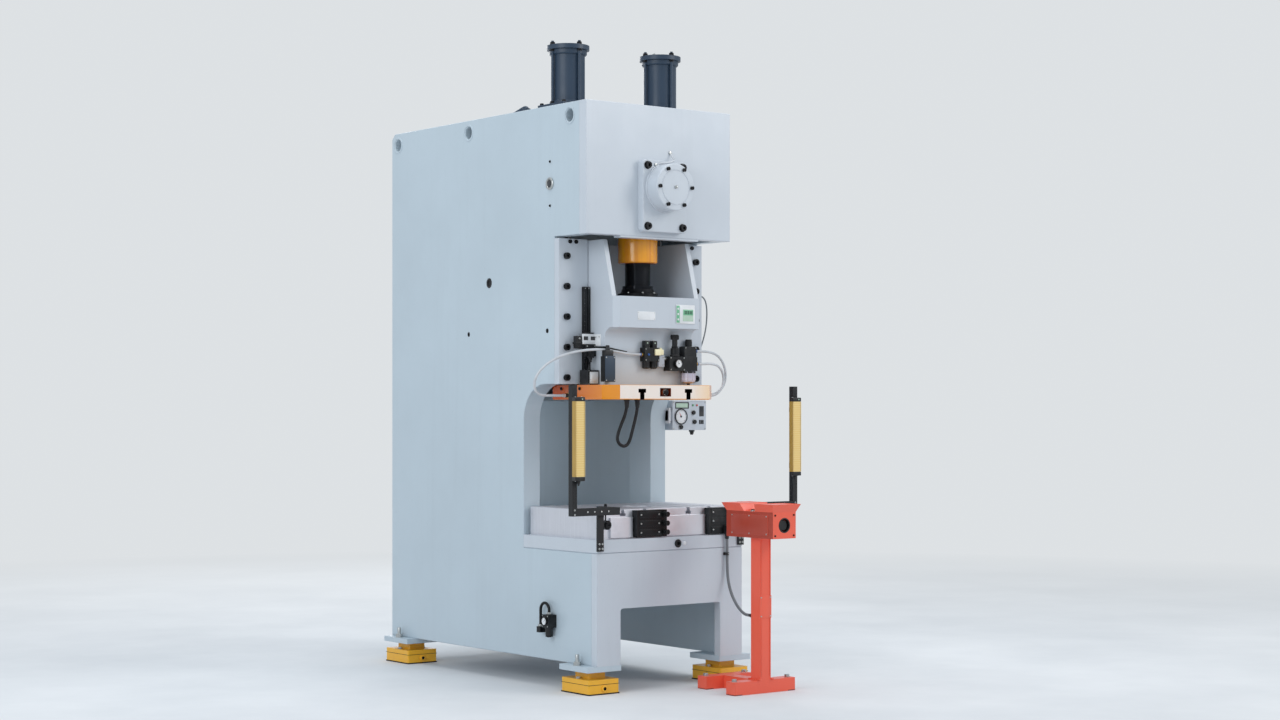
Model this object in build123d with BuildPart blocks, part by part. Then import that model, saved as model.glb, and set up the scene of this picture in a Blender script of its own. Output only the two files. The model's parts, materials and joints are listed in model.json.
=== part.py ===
from build123d import *
import os
from math import asin, cos, pi, radians, sin, tan

os.makedirs("parts", exist_ok=True)

# A gap-frame punch press with its two-hand control stand.
# X runs to the operator's right, Y towards the rear, Z up from the floor.
# Millimetres. Depths (suffix _d) are measured back from the head's front face.

# Clearances
running = 0.05
guide_gap = 0.3
air_gap = 0.5

# Frame
frame_width = 1000
frame_depth = 1980
frame_top = 3165
head_bottom = 2450
side_plate_t = 70
doubler_t = 40
doubler_width = 200
head_front_t = 60
head_lip_width = 540
head_lip_drop = 10
roof_t = 40
rear_corner = 30
edge_break = 3
throat_d = 585
throat_top = 1650
throat_r = 200
cross_plate_t = 40

# Lifting and service holes in the side plates: depth, height, diameter
side_holes = (
    (150, 3095, 70),
    (1140, 3095, 70),
    (1910, 3095, 70),
    (930, 2225, 55),
    (1140, 1940, 25),
    (360, 1940, 25),
)

# Bed, table and feet
bed_reach = 100
bed_front_t = 50
table_top = 820
table_t = 73
table_seam = 5
leg_width = 155
leg_opening_top = 450
leg_opening_r = 15
pad_height = 120
pad_base_height = 80
pad_length = 200
pad_width = 250
pad_cap_length = 110
pad_cap_width = 130
pad_inset = 50
front_pad_d = 30
rear_pad_d = 1840
foot_plate_t = 30
foot_plate_inset = 160
foot_plate_reach = 60
foot_plate_length = 260
scrap_hole_r = 80
table_port_x = 45
table_port_r = 16

# Bolster
bolster_width = 940
bolster_length = 620
bolster_t = 156
bolster_front_d = -60
bolster_slot_x = (-300, -150, 150, 300)
slot_stem = 22
slot_head = 38
slot_stem_depth = 20
slot_head_height = 16
bolster_pad_t = 12
bolster_pad_spans = ((-390, -240), (-25, 260))
valve_spans = ((-235, -30), (265, 460))
valve_t = 40
valve_margin = 6
plug_r = 12
plug_length = 28
plug_rows = 3
knob_x = -430
knob_r = 25
knob_stem_r = 4
knob_stem_top = 1010

# Gibs and slide
gib_front_d = 250
gib_bar_t = 40
gib_width = 128
gib_rear_leg_t = 50
gib_top = 2440
gib_bolt_inset = 50
gib_bolt_rows = 5
gib_bolt_first_z = 1685
gib_bolt_pitch = 165
slide_side_gap = 2
slide_rear_d = 500
tongue_width = 40
tongue_bottom = 1660
tongue_top = 2400
slide_bottom = 1645
slide_front_d = 100
box_bottom = 1955
box_top = 2125
box_bevel = 30
recess_r = 55
cheek_top = 2435
cheek_t = 30
cheek_foot_d = 36
cheek_head_d = 120
slide_rear_wall = 40
face_plate_width = 760
face_plate_t = 80
face_plate_front_d = -50
face_plate_rear_d = 475
face_plate_corner = 70
face_slot_x = (-160, 160)
face_slot_stem = 28
face_slot_head = 50
face_slot_stem_depth = 38
face_slot_head_height = 20
shank_r = 30
shank_depth = 60
clamp_pocket_width = 76
clamp_pocket_height = 46
clamp_pocket_depth = 30
clamp_screw_r = 20

# Crank drive
stroke = 160
crank_z = 2715
rod_d = 200
journal_r = 75
crank_pin_r = 60
crank_pin_length = 110
web_t = 45
web_r = 100
web_pin_r = 85
big_end_r = 110
big_end_side_gap = 2
stub_width = 150
pivot_gap = 18
rod_r = 110
rod_bottom = 2316
rod_top = 2540
screw_r = 70
screw_top = 2500
seat_r = 111
seat_top_r = 84
seat_height = 44
seat_bolts = 8

# Gears and shafts
wall_t = 70
wall_bottom = 2250
middle_wall_d = 560
rear_wall_d = 860
gear_module = 8
gear_teeth = 72
pinion_teeth = 18
gear_width = 120
gear_d = 680
gear_rim = 50
gear_hub_r = 130
gear_web_t = 50
gear_holes = 6
gear_hole_r = 45
pinion_width = 130
pinion_shaft_r = 45
quill_r = 90
quill_end_d = 1170
crank_end_d = 940
crank_nose_d = -60

# Flywheel, belts and motor
flywheel_r = 350
flywheel_d = 1185
flywheel_width = 150
flywheel_rim = 70
flywheel_web_t = 50
flywheel_hub_r = 95
clutch_r = 160
clutch_gap = 15
clutch_t = 70
pinion_shaft_end_d = 1460
belt_count = 5
belt_pitch = 22
belt_outer_width = 17
belt_inner_width = 11
belt_height = 11
belt_side_gap = 0.4
belt_floor_gap = 2
pulley_r = 100
motor_z = 1760
motor_r = 140
motor_gap = 65
motor_length = 360
motor_fins = 28
motor_fin_height = 12
motor_fin_t = 4
motor_shaft_r = 21
motor_seat_depth = 60
motor_base_top = 1590
motor_base_t = 30
motor_base_front_d = 1200
motor_foot_width = 240

# Front bearing
housing_width = 300
housing_height = 390
housing_t = 45
housing_drop = 45
spigot_r = 100
housing_bolt_span_x = 240
housing_bolt_span_z = 330
cap_r = 128
cap_length = 95
cap_wall = 25
cap_cavity_r = 85
cap_bolt_circle_r = 110
cap_bolts = 6

# Fasteners
large_bolt_r = 12
large_head_r = 18
large_head_h = 18
large_bolt_grip = 35
small_bolt_r = 6
small_head_r = 10
small_head_h = 12

# Balance cylinders
balance_d = 410
balance_rod_r = 15
balance_base = 240
balance_base_t = 25
balance_tube_r = 92.5
balance_bore_r = 82.5
balance_height = 350
balance_flange_r = 117.5
balance_flange_t = 25
tie_rod_r = 8
tie_rod_circle_r = 105
tie_rod_proud = 20
piston_t = 35
piston_head_room = 15
roof_hole_r = 30
air_pipe_r = 17
air_pipe_length = 300

# Rear guard and lower rear plate
guard_bottom = 1600
guard_top = 3050
guard_t = 3
guard_depth = 45
louvre_length = 180
louvre_height = 14
louvre_columns = 3
louvre_rows = 13
louvre_pitch_x = 250
louvre_pitch_z = 95
rear_plate_bottom = 300
rear_plate_top = 900

# Light curtains
curtain_reach = 245
curtain_width = 60
curtain_t = 31
curtain_bottom = 1145
curtain_top = 1575
post_size = 32
post_front_d = -255
post_bottom = 960
post_top = 1636
arm_height = 40
arm_inset = 35
arm_reach = 5
arm_foot_bottom = 760
arm_foot_t = 12

# Linear scale and reading head
scale_offset = 25
scale_width = 40
scale_t = 22
scale_bottom = 1660
scale_top = 2180
head_block_width = 60
head_block_t = 32
head_block_bottom = 1820
head_block_top = 1930
sensor_box_width = 100
sensor_box_height = 80
sensor_box_front_d = 150

# Air valves on the slide's front: solenoid block, regulator with its bowl, terminal box
solenoid_x = (-60, 40)
solenoid_z = (1775, 1850)
solenoid_depth = 45
coil_x_spots = (-38, 14)
coil_r = 20
coil_length = 37
coil_cap_width = 28
coil_cap_height = 36
regulator_x = (105, 300)
regulator_z = (1724, 1803)
regulator_depth = 55
filter_x = (215, 300)
filter_height = 57
filter_depth = 48
bowl_x = 248
bowl_r = 38
bowl_length = 60
adjuster_x = 152
adjuster_base_r = 24
adjuster_base_height = 47
adjuster_neck_r = 15
adjuster_neck_height = 46
adjuster_knob_r = 22
adjuster_knob_height = 26
filter_cap_x = 262
filter_cap_r = 18
filter_cap_height = 32
terminal_x = (-328, -264)
terminal_z = (1662, 1800)
terminal_depth = 42

# Operator box
panel_gap = 25
panel_width = 250
panel_bottom = 1390
panel_top = 1560
panel_front_d = 550
panel_depth = 80
panel_arm = 60
dial_inset = 60
dial_z = 1469
dial_r = 45
dial_proud = 8
display_inset = 70
display_z = 1534
display_width = 92
display_height = 28
panel_button_r = 12
panel_button_proud = 12
panel_button_seat = 16
panel_button_travel = 5
# Buttons: label, distance in from the box's left edge, height
panel_buttons = (
    ("panel_button_upper", 153, 1492),
    ("panel_button_lower", 161, 1438),
    ("panel_button_left", 60, 1408),
)

# Control cabinet on the right side plate
cabinet_front_d = 1000
cabinet_length = 600
cabinet_bottom = 1100
cabinet_height = 800
cabinet_depth = 200
cabinet_wall = 4
cabinet_lip = 30
door_t = 22
door_skin = 4
hinge_offset_x = 11
hinge_offset_y = 9
hinge_pin_r = 4
hinge_barrel_r = 8
hinge_barrel_length = 60
hinge_ear_t = 8
hinge_inset = 100
latch_r = 10
latch_length = 110
latch_width = 18
latch_proud = 26
latch_inset = 45

# Two-hand control stand
stand_x = 270
stand_d = -530
stand_column = 75
stand_base_width = 420
stand_base_height = 70
stand_base_bar = 75
stand_rear_bar_offset = 300
stand_rear_bar_width = 320
stand_head_bottom = 830
stand_head_height = 140
stand_head_length = 380
stand_head_width = 160
hood_height = 40
hood_length = 145
hood_top_length = 130
hood_flare = 18
hood_overhang = 20
palm_pocket_r = 34
palm_pocket_depth = 32
palm_button_r = 28
palm_button_t = 16
palm_stem_r = 10
palm_travel = 6
stop_r = 22
stop_t = 18
stop_stem_r = 9
stop_collar_r = 30
stop_collar_t = 10
stop_travel = 6

# Air unit on the left side plate
air_unit_d = 300
air_unit_z = 365
air_unit_width = 60
air_unit_height = 70
air_unit_depth = 55
air_bowl_r = 20
air_bowl_length = 50
air_loop_r = 40
air_loop_tube_r = 8

# Cords with their ports, glands and clips
hose_diameter = 14
cable_diameter = 18
wire_diameter = 8
conduit_diameter = 16
port_r = 11
port_length = 30
left_port_d = 319
right_port_d = 148
lower_port_d = 84
left_port_z = 1588
right_port_z = 1592
cable_gland_x = (-204, -132)
cable_d = 30
gland_r = 13
gland_length = 20
conduit_x = 380
conduit_offset = 16
conduit_top = 830
elbow_width = 28
elbow_height = 40
elbow_reach = 30
clip_drop = 40
clip_height = 15
clip_wall = 4
stand_gland_z = 405
stand_gland_length = 32
wire_d = 330
wire_top_z = 2165
wire_gland_length = 18
wire_plug_z = 1810
wire_plug_height = 30
wire_plug_depth = 22
wire_plug_offset = 26
wire_plug_length = 20

# Values worked out from the sizes above
half_width = frame_width / 2
inner_x = half_width - side_plate_t
stand_front_d = stand_d - stand_head_length / 2 - hood_overhang
head_y = (-stand_front_d - frame_depth) / 2
rear_y = head_y + frame_depth
throat_y = head_y + throat_d
bed_front_y = head_y - bed_reach
bed_inner_y = bed_front_y + bed_front_t
seam_z = table_top - table_t
foot_top = pad_height + foot_plate_t
pad_x = half_width - pad_inset
foot_plate_x = (half_width - foot_plate_inset, half_width + foot_plate_reach)
leg_opening_width = frame_width - 2 * leg_width
gib_front_y = head_y + gib_front_d
guide_y = gib_front_y + gib_bar_t
gib_bolt_x = half_width - gib_bolt_inset
gib_inner_x = inner_x - gib_width
slide_half = gib_inner_x - slide_side_gap
tongue_x = slide_half + tongue_width
balance_x = gib_inner_x + tongue_width / 2
scale_x = -slide_half - scale_offset
slide_rear_y = head_y + slide_rear_d
rod_y = head_y + rod_d
crank_throw = stroke / 2
housing_z = crank_z - housing_drop
pin_z = crank_z + crank_throw
pin_front_y = rod_y - crank_pin_length / 2
pin_rear_y = rod_y + crank_pin_length / 2
gear_pitch_r = gear_module * gear_teeth / 2
pinion_pitch_r = gear_module * pinion_teeth / 2
pinion_z = crank_z - gear_pitch_r - pinion_pitch_r
bolster_top = table_top + bolster_t
bolster_front_y = head_y + bolster_front_d
valve_front_y = bolster_front_y - valve_t
face_plate_bottom = slide_bottom - face_plate_t
face_plate_half = face_plate_width / 2
face_plate_front_y = head_y + face_plate_front_d
groove_middle_y = head_y + flywheel_d + flywheel_width / 2
cabinet_face_x = half_width + cabinet_depth
cabinet_front_y = head_y + cabinet_front_d
cabinet_rear_y = cabinet_front_y + cabinet_length
cabinet_top = cabinet_bottom + cabinet_height
door_x = cabinet_face_x + guide_gap
door_face_x = door_x + door_t
hinge_x = cabinet_face_x + hinge_offset_x
hinge_y = cabinet_rear_y + hinge_offset_y
panel_y = head_y + panel_front_d
panel_left_x = half_width + panel_gap
panel_right_x = panel_left_x + panel_width
dial_x = panel_left_x + dial_inset
display_x = panel_left_x + display_inset
stand_y = head_y + stand_d
stand_head_top = stand_head_bottom + stand_head_height
stand_head_front_y = stand_y - stand_head_length / 2
stand_head_rear_y = stand_y + stand_head_length / 2
curtain_x = half_width + curtain_reach
arm_x = (half_width - arm_inset, half_width + arm_reach)
post_front_y = head_y + post_front_d
post_rear_y = post_front_y + post_size
scale_front_y = gib_front_y - scale_t
balance_top = frame_top + balance_height
slide_face_y = head_y + slide_front_d
left_port_y = head_y + left_port_d
right_port_y = head_y + right_port_d
lower_port_y = head_y + lower_port_d
cable_y = head_y + cable_d
wire_y = head_y + wire_d
conduit_y = bed_front_y - conduit_offset

gib_bolt_heights = [gib_bolt_first_z + gib_bolt_pitch * row for row in range(gib_bolt_rows)]
housing_bolt_spots = [
    (x * housing_bolt_span_x / 2, housing_z + z * housing_bolt_span_z / 2)
    for x in (-1, 1)
    for z in (-1, 1)
]
cap_bolt_spots = [
    (
        cap_bolt_circle_r * cos(2 * pi * turn / cap_bolts),
        crank_z + cap_bolt_circle_r * sin(2 * pi * turn / cap_bolts),
    )
    for turn in range(cap_bolts)
]
hands = ((-1, "left"), (1, "right"))


def block(x_span, y_span, z_span, mode=Mode.ADD):
    """A box between two values on each axis."""
    spans = [sorted(span) for span in (x_span, y_span, z_span)]
    middle = [(low + high) / 2 for low, high in spans]
    size = [high - low for low, high in spans]
    with Locations(tuple(middle)):
        Box(*size, mode=mode)


def bar_x(x_span, y, z, radius, mode=Mode.ADD):
    """A round bar along X."""
    low, high = sorted(x_span)
    with Locations(Location(((low + high) / 2, y, z), (0, 90, 0))):
        Cylinder(radius, high - low, mode=mode)


def bar_y(x, y_span, z, radius, mode=Mode.ADD):
    """A round bar along Y."""
    low, high = sorted(y_span)
    with Locations(Location((x, (low + high) / 2, z), (90, 0, 0))):
        Cylinder(radius, high - low, mode=mode)


def bar_z(x, y, z_span, radius, mode=Mode.ADD):
    """A round bar along Z."""
    low, high = sorted(z_span)
    with Locations((x, y, (low + high) / 2)):
        Cylinder(radius, high - low, mode=mode)


def span_rectangle(x_span, y_span):
    """A rectangle in the open sketch from its spans in X and Y."""
    with Locations((sum(x_span) / 2, sum(y_span) / 2)):
        Rectangle(abs(x_span[1] - x_span[0]), abs(y_span[1] - y_span[0]))


def facing_front(y):
    """A plane at one depth, with X to the right and Z up; a negative extrusion runs to the rear."""
    return Plane.XZ.offset(-y)


def cap_screw(x, z, face_y, radius, head_r, head_h, grip):
    """A socket head screw driven towards the rear into a face."""
    bar_y(x, (face_y - head_h, face_y), z, head_r)
    bar_y(x, (face_y, face_y + grip), z, radius)
    with BuildSketch(facing_front(face_y - head_h)) as socket:
        with Locations((x, z)):
            RegularPolygon(head_r * 0.5, 6)
    extrude(socket.sketch, amount=-head_h * 0.6, mode=Mode.SUBTRACT)


def tee_slot(x, mouth_z, depth_sign, y_span, stem, head, stem_depth, head_height):
    """A T slot along Y, cut up or down from its mouth."""
    step = mouth_z + depth_sign * stem_depth
    block((x - stem / 2, x + stem / 2), y_span, (mouth_z, step), mode=Mode.SUBTRACT)
    floor = step + depth_sign * head_height
    block((x - head / 2, x + head / 2), y_span, (step, floor), mode=Mode.SUBTRACT)


def gear_outline(teeth, module, first_angle):
    """A spur gear's outline: a root circle with a straight-sided tooth at each pitch."""
    pitch_r = module * teeth / 2
    root_r = pitch_r - 1.15 * module
    tip_r = pitch_r + 0.85 * module
    root_half = 0.62 * module
    tip_half = 0.3 * module
    Circle(root_r)
    with PolarLocations(0, teeth, start_angle=first_angle):
        Polygon(
            (root_r - module, -root_half),
            (root_r, -root_half),
            (tip_r, -tip_half),
            (tip_r, tip_half),
            (root_r, root_half),
            (root_r - module, root_half),
            align=None,
        )


def grooved_rim(radius, middle_y, width, axis_z):
    """Outline, in depth and height, of a rim's outer face with one V groove for each belt."""
    outer_half = belt_outer_width / 2 + belt_side_gap
    depth = belt_height + belt_floor_gap
    slope = (belt_outer_width - belt_inner_width) / 2 / belt_height
    inner_half = outer_half - slope * depth
    points = [(middle_y - width / 2, axis_z + radius)]
    for belt in range(belt_count):
        y = middle_y + (belt - (belt_count - 1) / 2) * belt_pitch
        points.append((y - outer_half, axis_z + radius))
        points.append((y - inner_half, axis_z + radius - depth))
        points.append((y + inner_half, axis_z + radius - depth))
        points.append((y + outer_half, axis_z + radius))
    points.append((middle_y + width / 2, axis_z + radius))
    return points


def corner_radii(points):
    """Bend radius of each corner: 0.45 of the shorter run over the tangent of half the turn."""
    spots = [Vector(*point) for point in points]
    radii = []
    for before, here, after in zip(spots, spots[1:], spots[2:]):
        turn = (here - before).get_angle(after - here)
        shorter = min((here - before).length, (after - here).length)
        radii.append(0.45 * shorter / tan(radians(turn) / 2))
    return radii


def cord_tube(label, points, diameter):
    """A round cord along a route of straight runs and tangent arcs."""
    radii = corner_radii(points)
    with BuildLine() as route:
        FilletPolyline(*points, radius=radii)
    with BuildSketch(Plane(origin=route.line @ 0, z_dir=route.line % 0)) as section:
        Circle(diameter / 2)
    tube = sweep(section.sketch, path=route.line)
    expected = pi * diameter**2 / 4 * route.wire().length
    print(label, "radii", [round(radius) for radius in radii])
    print(label, "length", round(route.wire().length), "volume ratio", round(tube.volume / expected, 4))


# Side plates, each with its throat doubler and its foot plates welded on
for side, hand in hands:
    with BuildPart() as side_plate:
        with BuildSketch(Plane.YZ.offset(side * inner_x)):
            with BuildLine():
                throat = Line((throat_y, seam_z), (throat_y, throat_top - throat_r))
                corner = JernArc(throat @ 1, (0, 1), throat_r, 90)
                Polyline(
                    corner @ 1,
                    (guide_y, throat_top),
                    (guide_y, head_bottom),
                    (head_y + head_front_t, head_bottom),
                    (head_y + head_front_t, frame_top),
                    (rear_y - rear_corner, frame_top),
                    (rear_y, frame_top - rear_corner),
                    (rear_y, foot_top),
                    (bed_inner_y, foot_top),
                    (bed_inner_y, seam_z),
                    (throat_y, seam_z),
                )
            make_face()
            for hole_d, hole_z, hole_size in side_holes:
                with Locations((head_y + hole_d, hole_z)):
                    Circle(hole_size / 2, mode=Mode.SUBTRACT)
        extrude(amount=side * side_plate_t)
        chamfer(side_plate.faces().sort_by(Axis.X)[-1 if side > 0 else 0].edges(), edge_break)
        with BuildSketch(Plane.YZ.offset(side * inner_x)):
            with BuildLine():
                throat = Line((throat_y, table_top), (throat_y, throat_top - throat_r))
                corner = JernArc(throat @ 1, (0, 1), throat_r, 90)
                Polyline(
                    corner @ 1,
                    (throat_y + doubler_width, throat_top),
                    (throat_y + doubler_width, table_top),
                    (throat_y, table_top),
                )
            make_face()
        extrude(amount=-side * doubler_t)
        for bolt_z in gib_bolt_heights:
            depth_span = (guide_y, gib_front_y + gib_bar_t + large_bolt_grip + air_gap)
            bar_y(side * gib_bolt_x, depth_span, bolt_z, large_bolt_r, Mode.SUBTRACT)
        for foot_d in (front_pad_d, rear_pad_d):
            foot_y = head_y + foot_d
            block(
                (side * foot_plate_x[0], side * foot_plate_x[1]),
                (foot_y - foot_plate_length / 2, foot_y + foot_plate_length / 2),
                (pad_height, foot_top),
            )
    side_plate.part.label = f"{hand}_side_plate"
    export_step(side_plate.part, f"parts/{hand}_side_plate.step")

# Head shell: the front plate with its lower lip and bearing bore, and the roof behind it
with BuildPart() as head_shell:
    block((-half_width, half_width), (head_y, head_y + head_front_t), (head_bottom, frame_top))
    chamfer(head_shell.faces().sort_by(Axis.Y)[0].edges(), edge_break)
    lip_z = head_bottom - head_lip_drop
    lip_half = head_lip_width / 2
    block((-lip_half, lip_half), (head_y, head_y + head_front_t), (lip_z, head_bottom))
    roof_rear_y = rear_y - rear_corner
    block((-inner_x, inner_x), (head_y + head_front_t, roof_rear_y), (frame_top - roof_t, frame_top))
    bar_y(0, (head_y, head_y + head_front_t), crank_z, spigot_r, Mode.SUBTRACT)
    for side, hand in hands:
        roof_span = (frame_top - roof_t, frame_top)
        bar_z(side * balance_x, head_y + balance_d, roof_span, roof_hole_r, Mode.SUBTRACT)
    for bolt_x, bolt_z in housing_bolt_spots:
        bar_y(bolt_x, (head_y, head_y + large_bolt_grip + air_gap), bolt_z, large_bolt_r, Mode.SUBTRACT)
head_shell.part.label = "head_shell"
export_step(head_shell.part, "parts/head_shell.step")

# Bearing walls across the head, the rear one with the flywheel quill
with BuildPart() as bearing_walls:
    for wall_d in (middle_wall_d, rear_wall_d):
        wall_y = (head_y + wall_d, head_y + wall_d + wall_t)
        block((-inner_x, inner_x), wall_y, (wall_bottom, frame_top - roof_t))
    quill_start = head_y + rear_wall_d + wall_t
    bar_y(0, (quill_start, head_y + quill_end_d), pinion_z, quill_r)
    bore_span = (head_y + middle_wall_d, head_y + quill_end_d)
    bar_y(0, bore_span, pinion_z, pinion_shaft_r + running, Mode.SUBTRACT)
    bar_y(0, bore_span, crank_z, journal_r + running, Mode.SUBTRACT)
bearing_walls.part.label = "bearing_walls"
export_step(bearing_walls.part, "parts/bearing_walls.step")

# Bed front plate with the leg opening
with BuildPart() as bed_front_plate:
    with BuildSketch(facing_front(bed_front_y)):
        with Locations((0, (foot_top + seam_z) / 2)):
            Rectangle(frame_width, seam_z - foot_top)
        with Locations((0, (foot_top + leg_opening_top) / 2)):
            Rectangle(leg_opening_width, leg_opening_top - foot_top, mode=Mode.SUBTRACT)
    extrude(amount=-bed_front_t)
    opening_corners = bed_front_plate.edges().filter_by(Axis.Y).filter_by_position(
        Axis.X, -leg_opening_width / 2 - 1, leg_opening_width / 2 + 1
    ).filter_by_position(Axis.Z, leg_opening_top - 1, leg_opening_top + 1)
    fillet(opening_corners, leg_opening_r)
bed_front_plate.part.label = "bed_front_plate"
export_step(bed_front_plate.part, "parts/bed_front_plate.step")

# Bed table under the bolster
with BuildPart() as bed_table:
    block((-half_width, half_width), (bed_front_y, throat_y), (seam_z, table_top))
    chamfer(bed_table.faces().sort_by(Axis.Z)[0].edges(), table_seam)
    bar_z(0, rod_y, (seam_z, table_top), scrap_hole_r, Mode.SUBTRACT)
    port_z = (seam_z + table_top) / 2
    bar_y(table_port_x, (bed_front_y, bed_front_y + table_port_r), port_z, table_port_r, Mode.SUBTRACT)
bed_table.part.label = "bed_table"
export_step(bed_table.part, "parts/bed_table.step")

# Plates across the rear: the lower tie plate and the base that the motor stands on
with BuildPart() as rear_cross_plates:
    tie_rear_y = rear_y - rear_corner
    tie_y_span = (tie_rear_y - cross_plate_t, tie_rear_y)
    block((-inner_x, inner_x), tie_y_span, (rear_plate_bottom, rear_plate_top))
    base_span = (motor_base_top - motor_base_t, motor_base_top)
    block((-inner_x, inner_x), (head_y + motor_base_front_d, tie_rear_y), base_span)
rear_cross_plates.part.label = "rear_cross_plates"
export_step(rear_cross_plates.part, "parts/rear_cross_plates.step")

# Bolster with T slots, scrap hole and raised front pads
with BuildPart() as bolster:
    bolster_rear_y = bolster_front_y + bolster_length
    bolster_half = bolster_width / 2
    block((-bolster_half, bolster_half), (bolster_front_y, bolster_rear_y), (table_top, bolster_top))
    chamfer(bolster.faces().sort_by(Axis.Z)[-1].edges(), edge_break)
    for slot_x in bolster_slot_x:
        with Locations((slot_x, 0, 0)):
            slot_y = (bolster_front_y, bolster_rear_y)
            tee_slot(0, bolster_top, -1, slot_y, slot_stem, slot_head, slot_stem_depth, slot_head_height)
    bar_z(0, rod_y, (table_top, bolster_top), scrap_hole_r, Mode.SUBTRACT)
    for low_x, high_x in bolster_pad_spans:
        pad_y = (bolster_front_y - bolster_pad_t, bolster_front_y)
        pad_z = (table_top + valve_margin, bolster_top - valve_margin - slot_stem_depth - slot_head_height)
        block((low_x, high_x), pad_y, pad_z)
bolster.part.label = "bolster"
export_step(bolster.part, "parts/bolster.step")

# Die lifter valve blocks on the bolster's front, with their plugs and the round switch knob
with BuildPart() as die_lift_valves:
    valve_z = (table_top + valve_margin, bolster_top - valve_margin)
    plug_pitch = (valve_z[1] - valve_z[0]) / plug_rows
    for low_x, high_x in valve_spans:
        block((low_x, high_x), (valve_front_y, bolster_front_y), valve_z)
        for row in range(plug_rows):
            plug_z = valve_z[0] + plug_pitch * (row + 0.5)
            bar_y(high_x - 1.5 * plug_r, (valve_front_y - plug_length, valve_front_y), plug_z, plug_r)
    knob_z = (table_top + bolster_top) / 2
    bar_y(knob_x, (valve_front_y, bolster_front_y), knob_z, knob_r)
    bar_z(knob_x, (valve_front_y + bolster_front_y) / 2, (knob_z, knob_stem_top), knob_stem_r)
die_lift_valves.part.label = "die_lift_valves"
export_step(die_lift_valves.part, "parts/die_lift_valves.step")

# Anti-vibration pads under the four foot plates
with BuildPart() as vibration_pads:
    for side, hand in hands:
        for foot_d in (front_pad_d, rear_pad_d):
            foot_y = head_y + foot_d
            with Locations((side * pad_x, foot_y, pad_base_height / 2)):
                Box(pad_length, pad_width, pad_base_height)
            with Locations((side * pad_x, foot_y, (pad_base_height + pad_height) / 2)):
                Box(pad_cap_length, pad_cap_width, pad_height - pad_base_height)
    fillet(vibration_pads.edges().filter_by(Axis.Z), 3 * edge_break)
vibration_pads.part.label = "vibration_pads"
export_step(vibration_pads.part, "parts/vibration_pads.step")

# Rear guard: a louvred sheet tray between the side plates
with BuildPart() as rear_guard:
    guard_rear_y = rear_y - guard_t
    guard_front_y = guard_rear_y - guard_depth
    block((-inner_x, inner_x), (guard_front_y, guard_rear_y), (guard_bottom, guard_top))
    hollow_x = (-inner_x + guard_t, inner_x - guard_t)
    hollow_z = (guard_bottom + guard_t, guard_top - guard_t)
    block(hollow_x, (guard_front_y, guard_rear_y - guard_t), hollow_z, Mode.SUBTRACT)
    with BuildSketch(facing_front(guard_rear_y)):
        with Locations((0, (guard_bottom + guard_top) / 2)):
            with GridLocations(louvre_pitch_x, louvre_pitch_z, louvre_columns, louvre_rows):
                SlotOverall(louvre_length, louvre_height)
    extrude(amount=guard_t, mode=Mode.SUBTRACT)
rear_guard.part.label = "rear_guard"
export_step(rear_guard.part, "parts/rear_guard.step")

# Gibs: a channel on each side that the slide's tongue runs in
for side, hand in hands:
    rail_x = tongue_x + guide_gap
    leg_front_y = slide_rear_y + guide_gap
    leg_rear_y = leg_front_y + gib_rear_leg_t
    with BuildPart() as gib:
        with BuildSketch(Plane.XY.offset(throat_top)):
            with BuildLine():
                Polyline(
                    (side * gib_inner_x, gib_front_y),
                    (side * half_width, gib_front_y),
                    (side * half_width, guide_y),
                    (side * inner_x, guide_y),
                    (side * inner_x, leg_rear_y),
                    (side * gib_inner_x, leg_rear_y),
                    (side * gib_inner_x, leg_front_y),
                    (side * rail_x, leg_front_y),
                    (side * rail_x, guide_y),
                    (side * gib_inner_x, guide_y),
                    close=True,
                )
            make_face()
        extrude(amount=gib_top - throat_top)
        front_edges = gib.edges().filter_by(Axis.Z).group_by(Axis.Y)[0]
        chamfer(front_edges, edge_break)
        for bolt_z in gib_bolt_heights:
            bar_y(side * gib_bolt_x, (gib_front_y, guide_y), bolt_z, large_bolt_r, Mode.SUBTRACT)
    gib.part.label = f"{hand}_gib"
    export_step(gib.part, f"parts/{hand}_gib.step")

# Socket screws of the gibs, the bearing housing and the bearing cap
with BuildPart() as frame_bolts:
    for side, hand in hands:
        for bolt_z in gib_bolt_heights:
            grip = gib_bar_t + large_bolt_grip
            cap_screw(side * gib_bolt_x, bolt_z, gib_front_y, large_bolt_r, large_head_r, large_head_h, grip)
    housing_front_y = head_y - housing_t
    for bolt_x, bolt_z in housing_bolt_spots:
        grip = housing_t + large_bolt_grip
        cap_screw(bolt_x, bolt_z, housing_front_y, large_bolt_r, large_head_r, large_head_h, grip)
    cap_front_y = housing_front_y - cap_length
    for bolt_x, bolt_z in cap_bolt_spots:
        cap_screw(bolt_x, bolt_z, cap_front_y, small_bolt_r, small_head_r, small_head_h, cap_length)
frame_bolts.part.label = "frame_bolts"
export_step(frame_bolts.part, "parts/frame_bolts.step")

# Front bearing housing: a flange with a spigot in the head plate
with BuildPart() as bearing_housing:
    with BuildSketch(facing_front(head_y)):
        with Locations((0, housing_z)):
            RectangleRounded(housing_width, housing_height, large_head_r)
    extrude(amount=housing_t)
    chamfer(bearing_housing.faces().sort_by(Axis.Y)[0].edges(), edge_break)
    bar_y(0, (head_y, head_y + head_front_t), crank_z, spigot_r)
    bar_y(0, (housing_front_y, head_y + head_front_t), crank_z, journal_r + running, Mode.SUBTRACT)
    for bolt_x, bolt_z in housing_bolt_spots:
        bar_y(bolt_x, (housing_front_y, head_y), bolt_z, large_bolt_r, Mode.SUBTRACT)
bearing_housing.part.label = "bearing_housing"
export_step(bearing_housing.part, "parts/bearing_housing.step")

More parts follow.
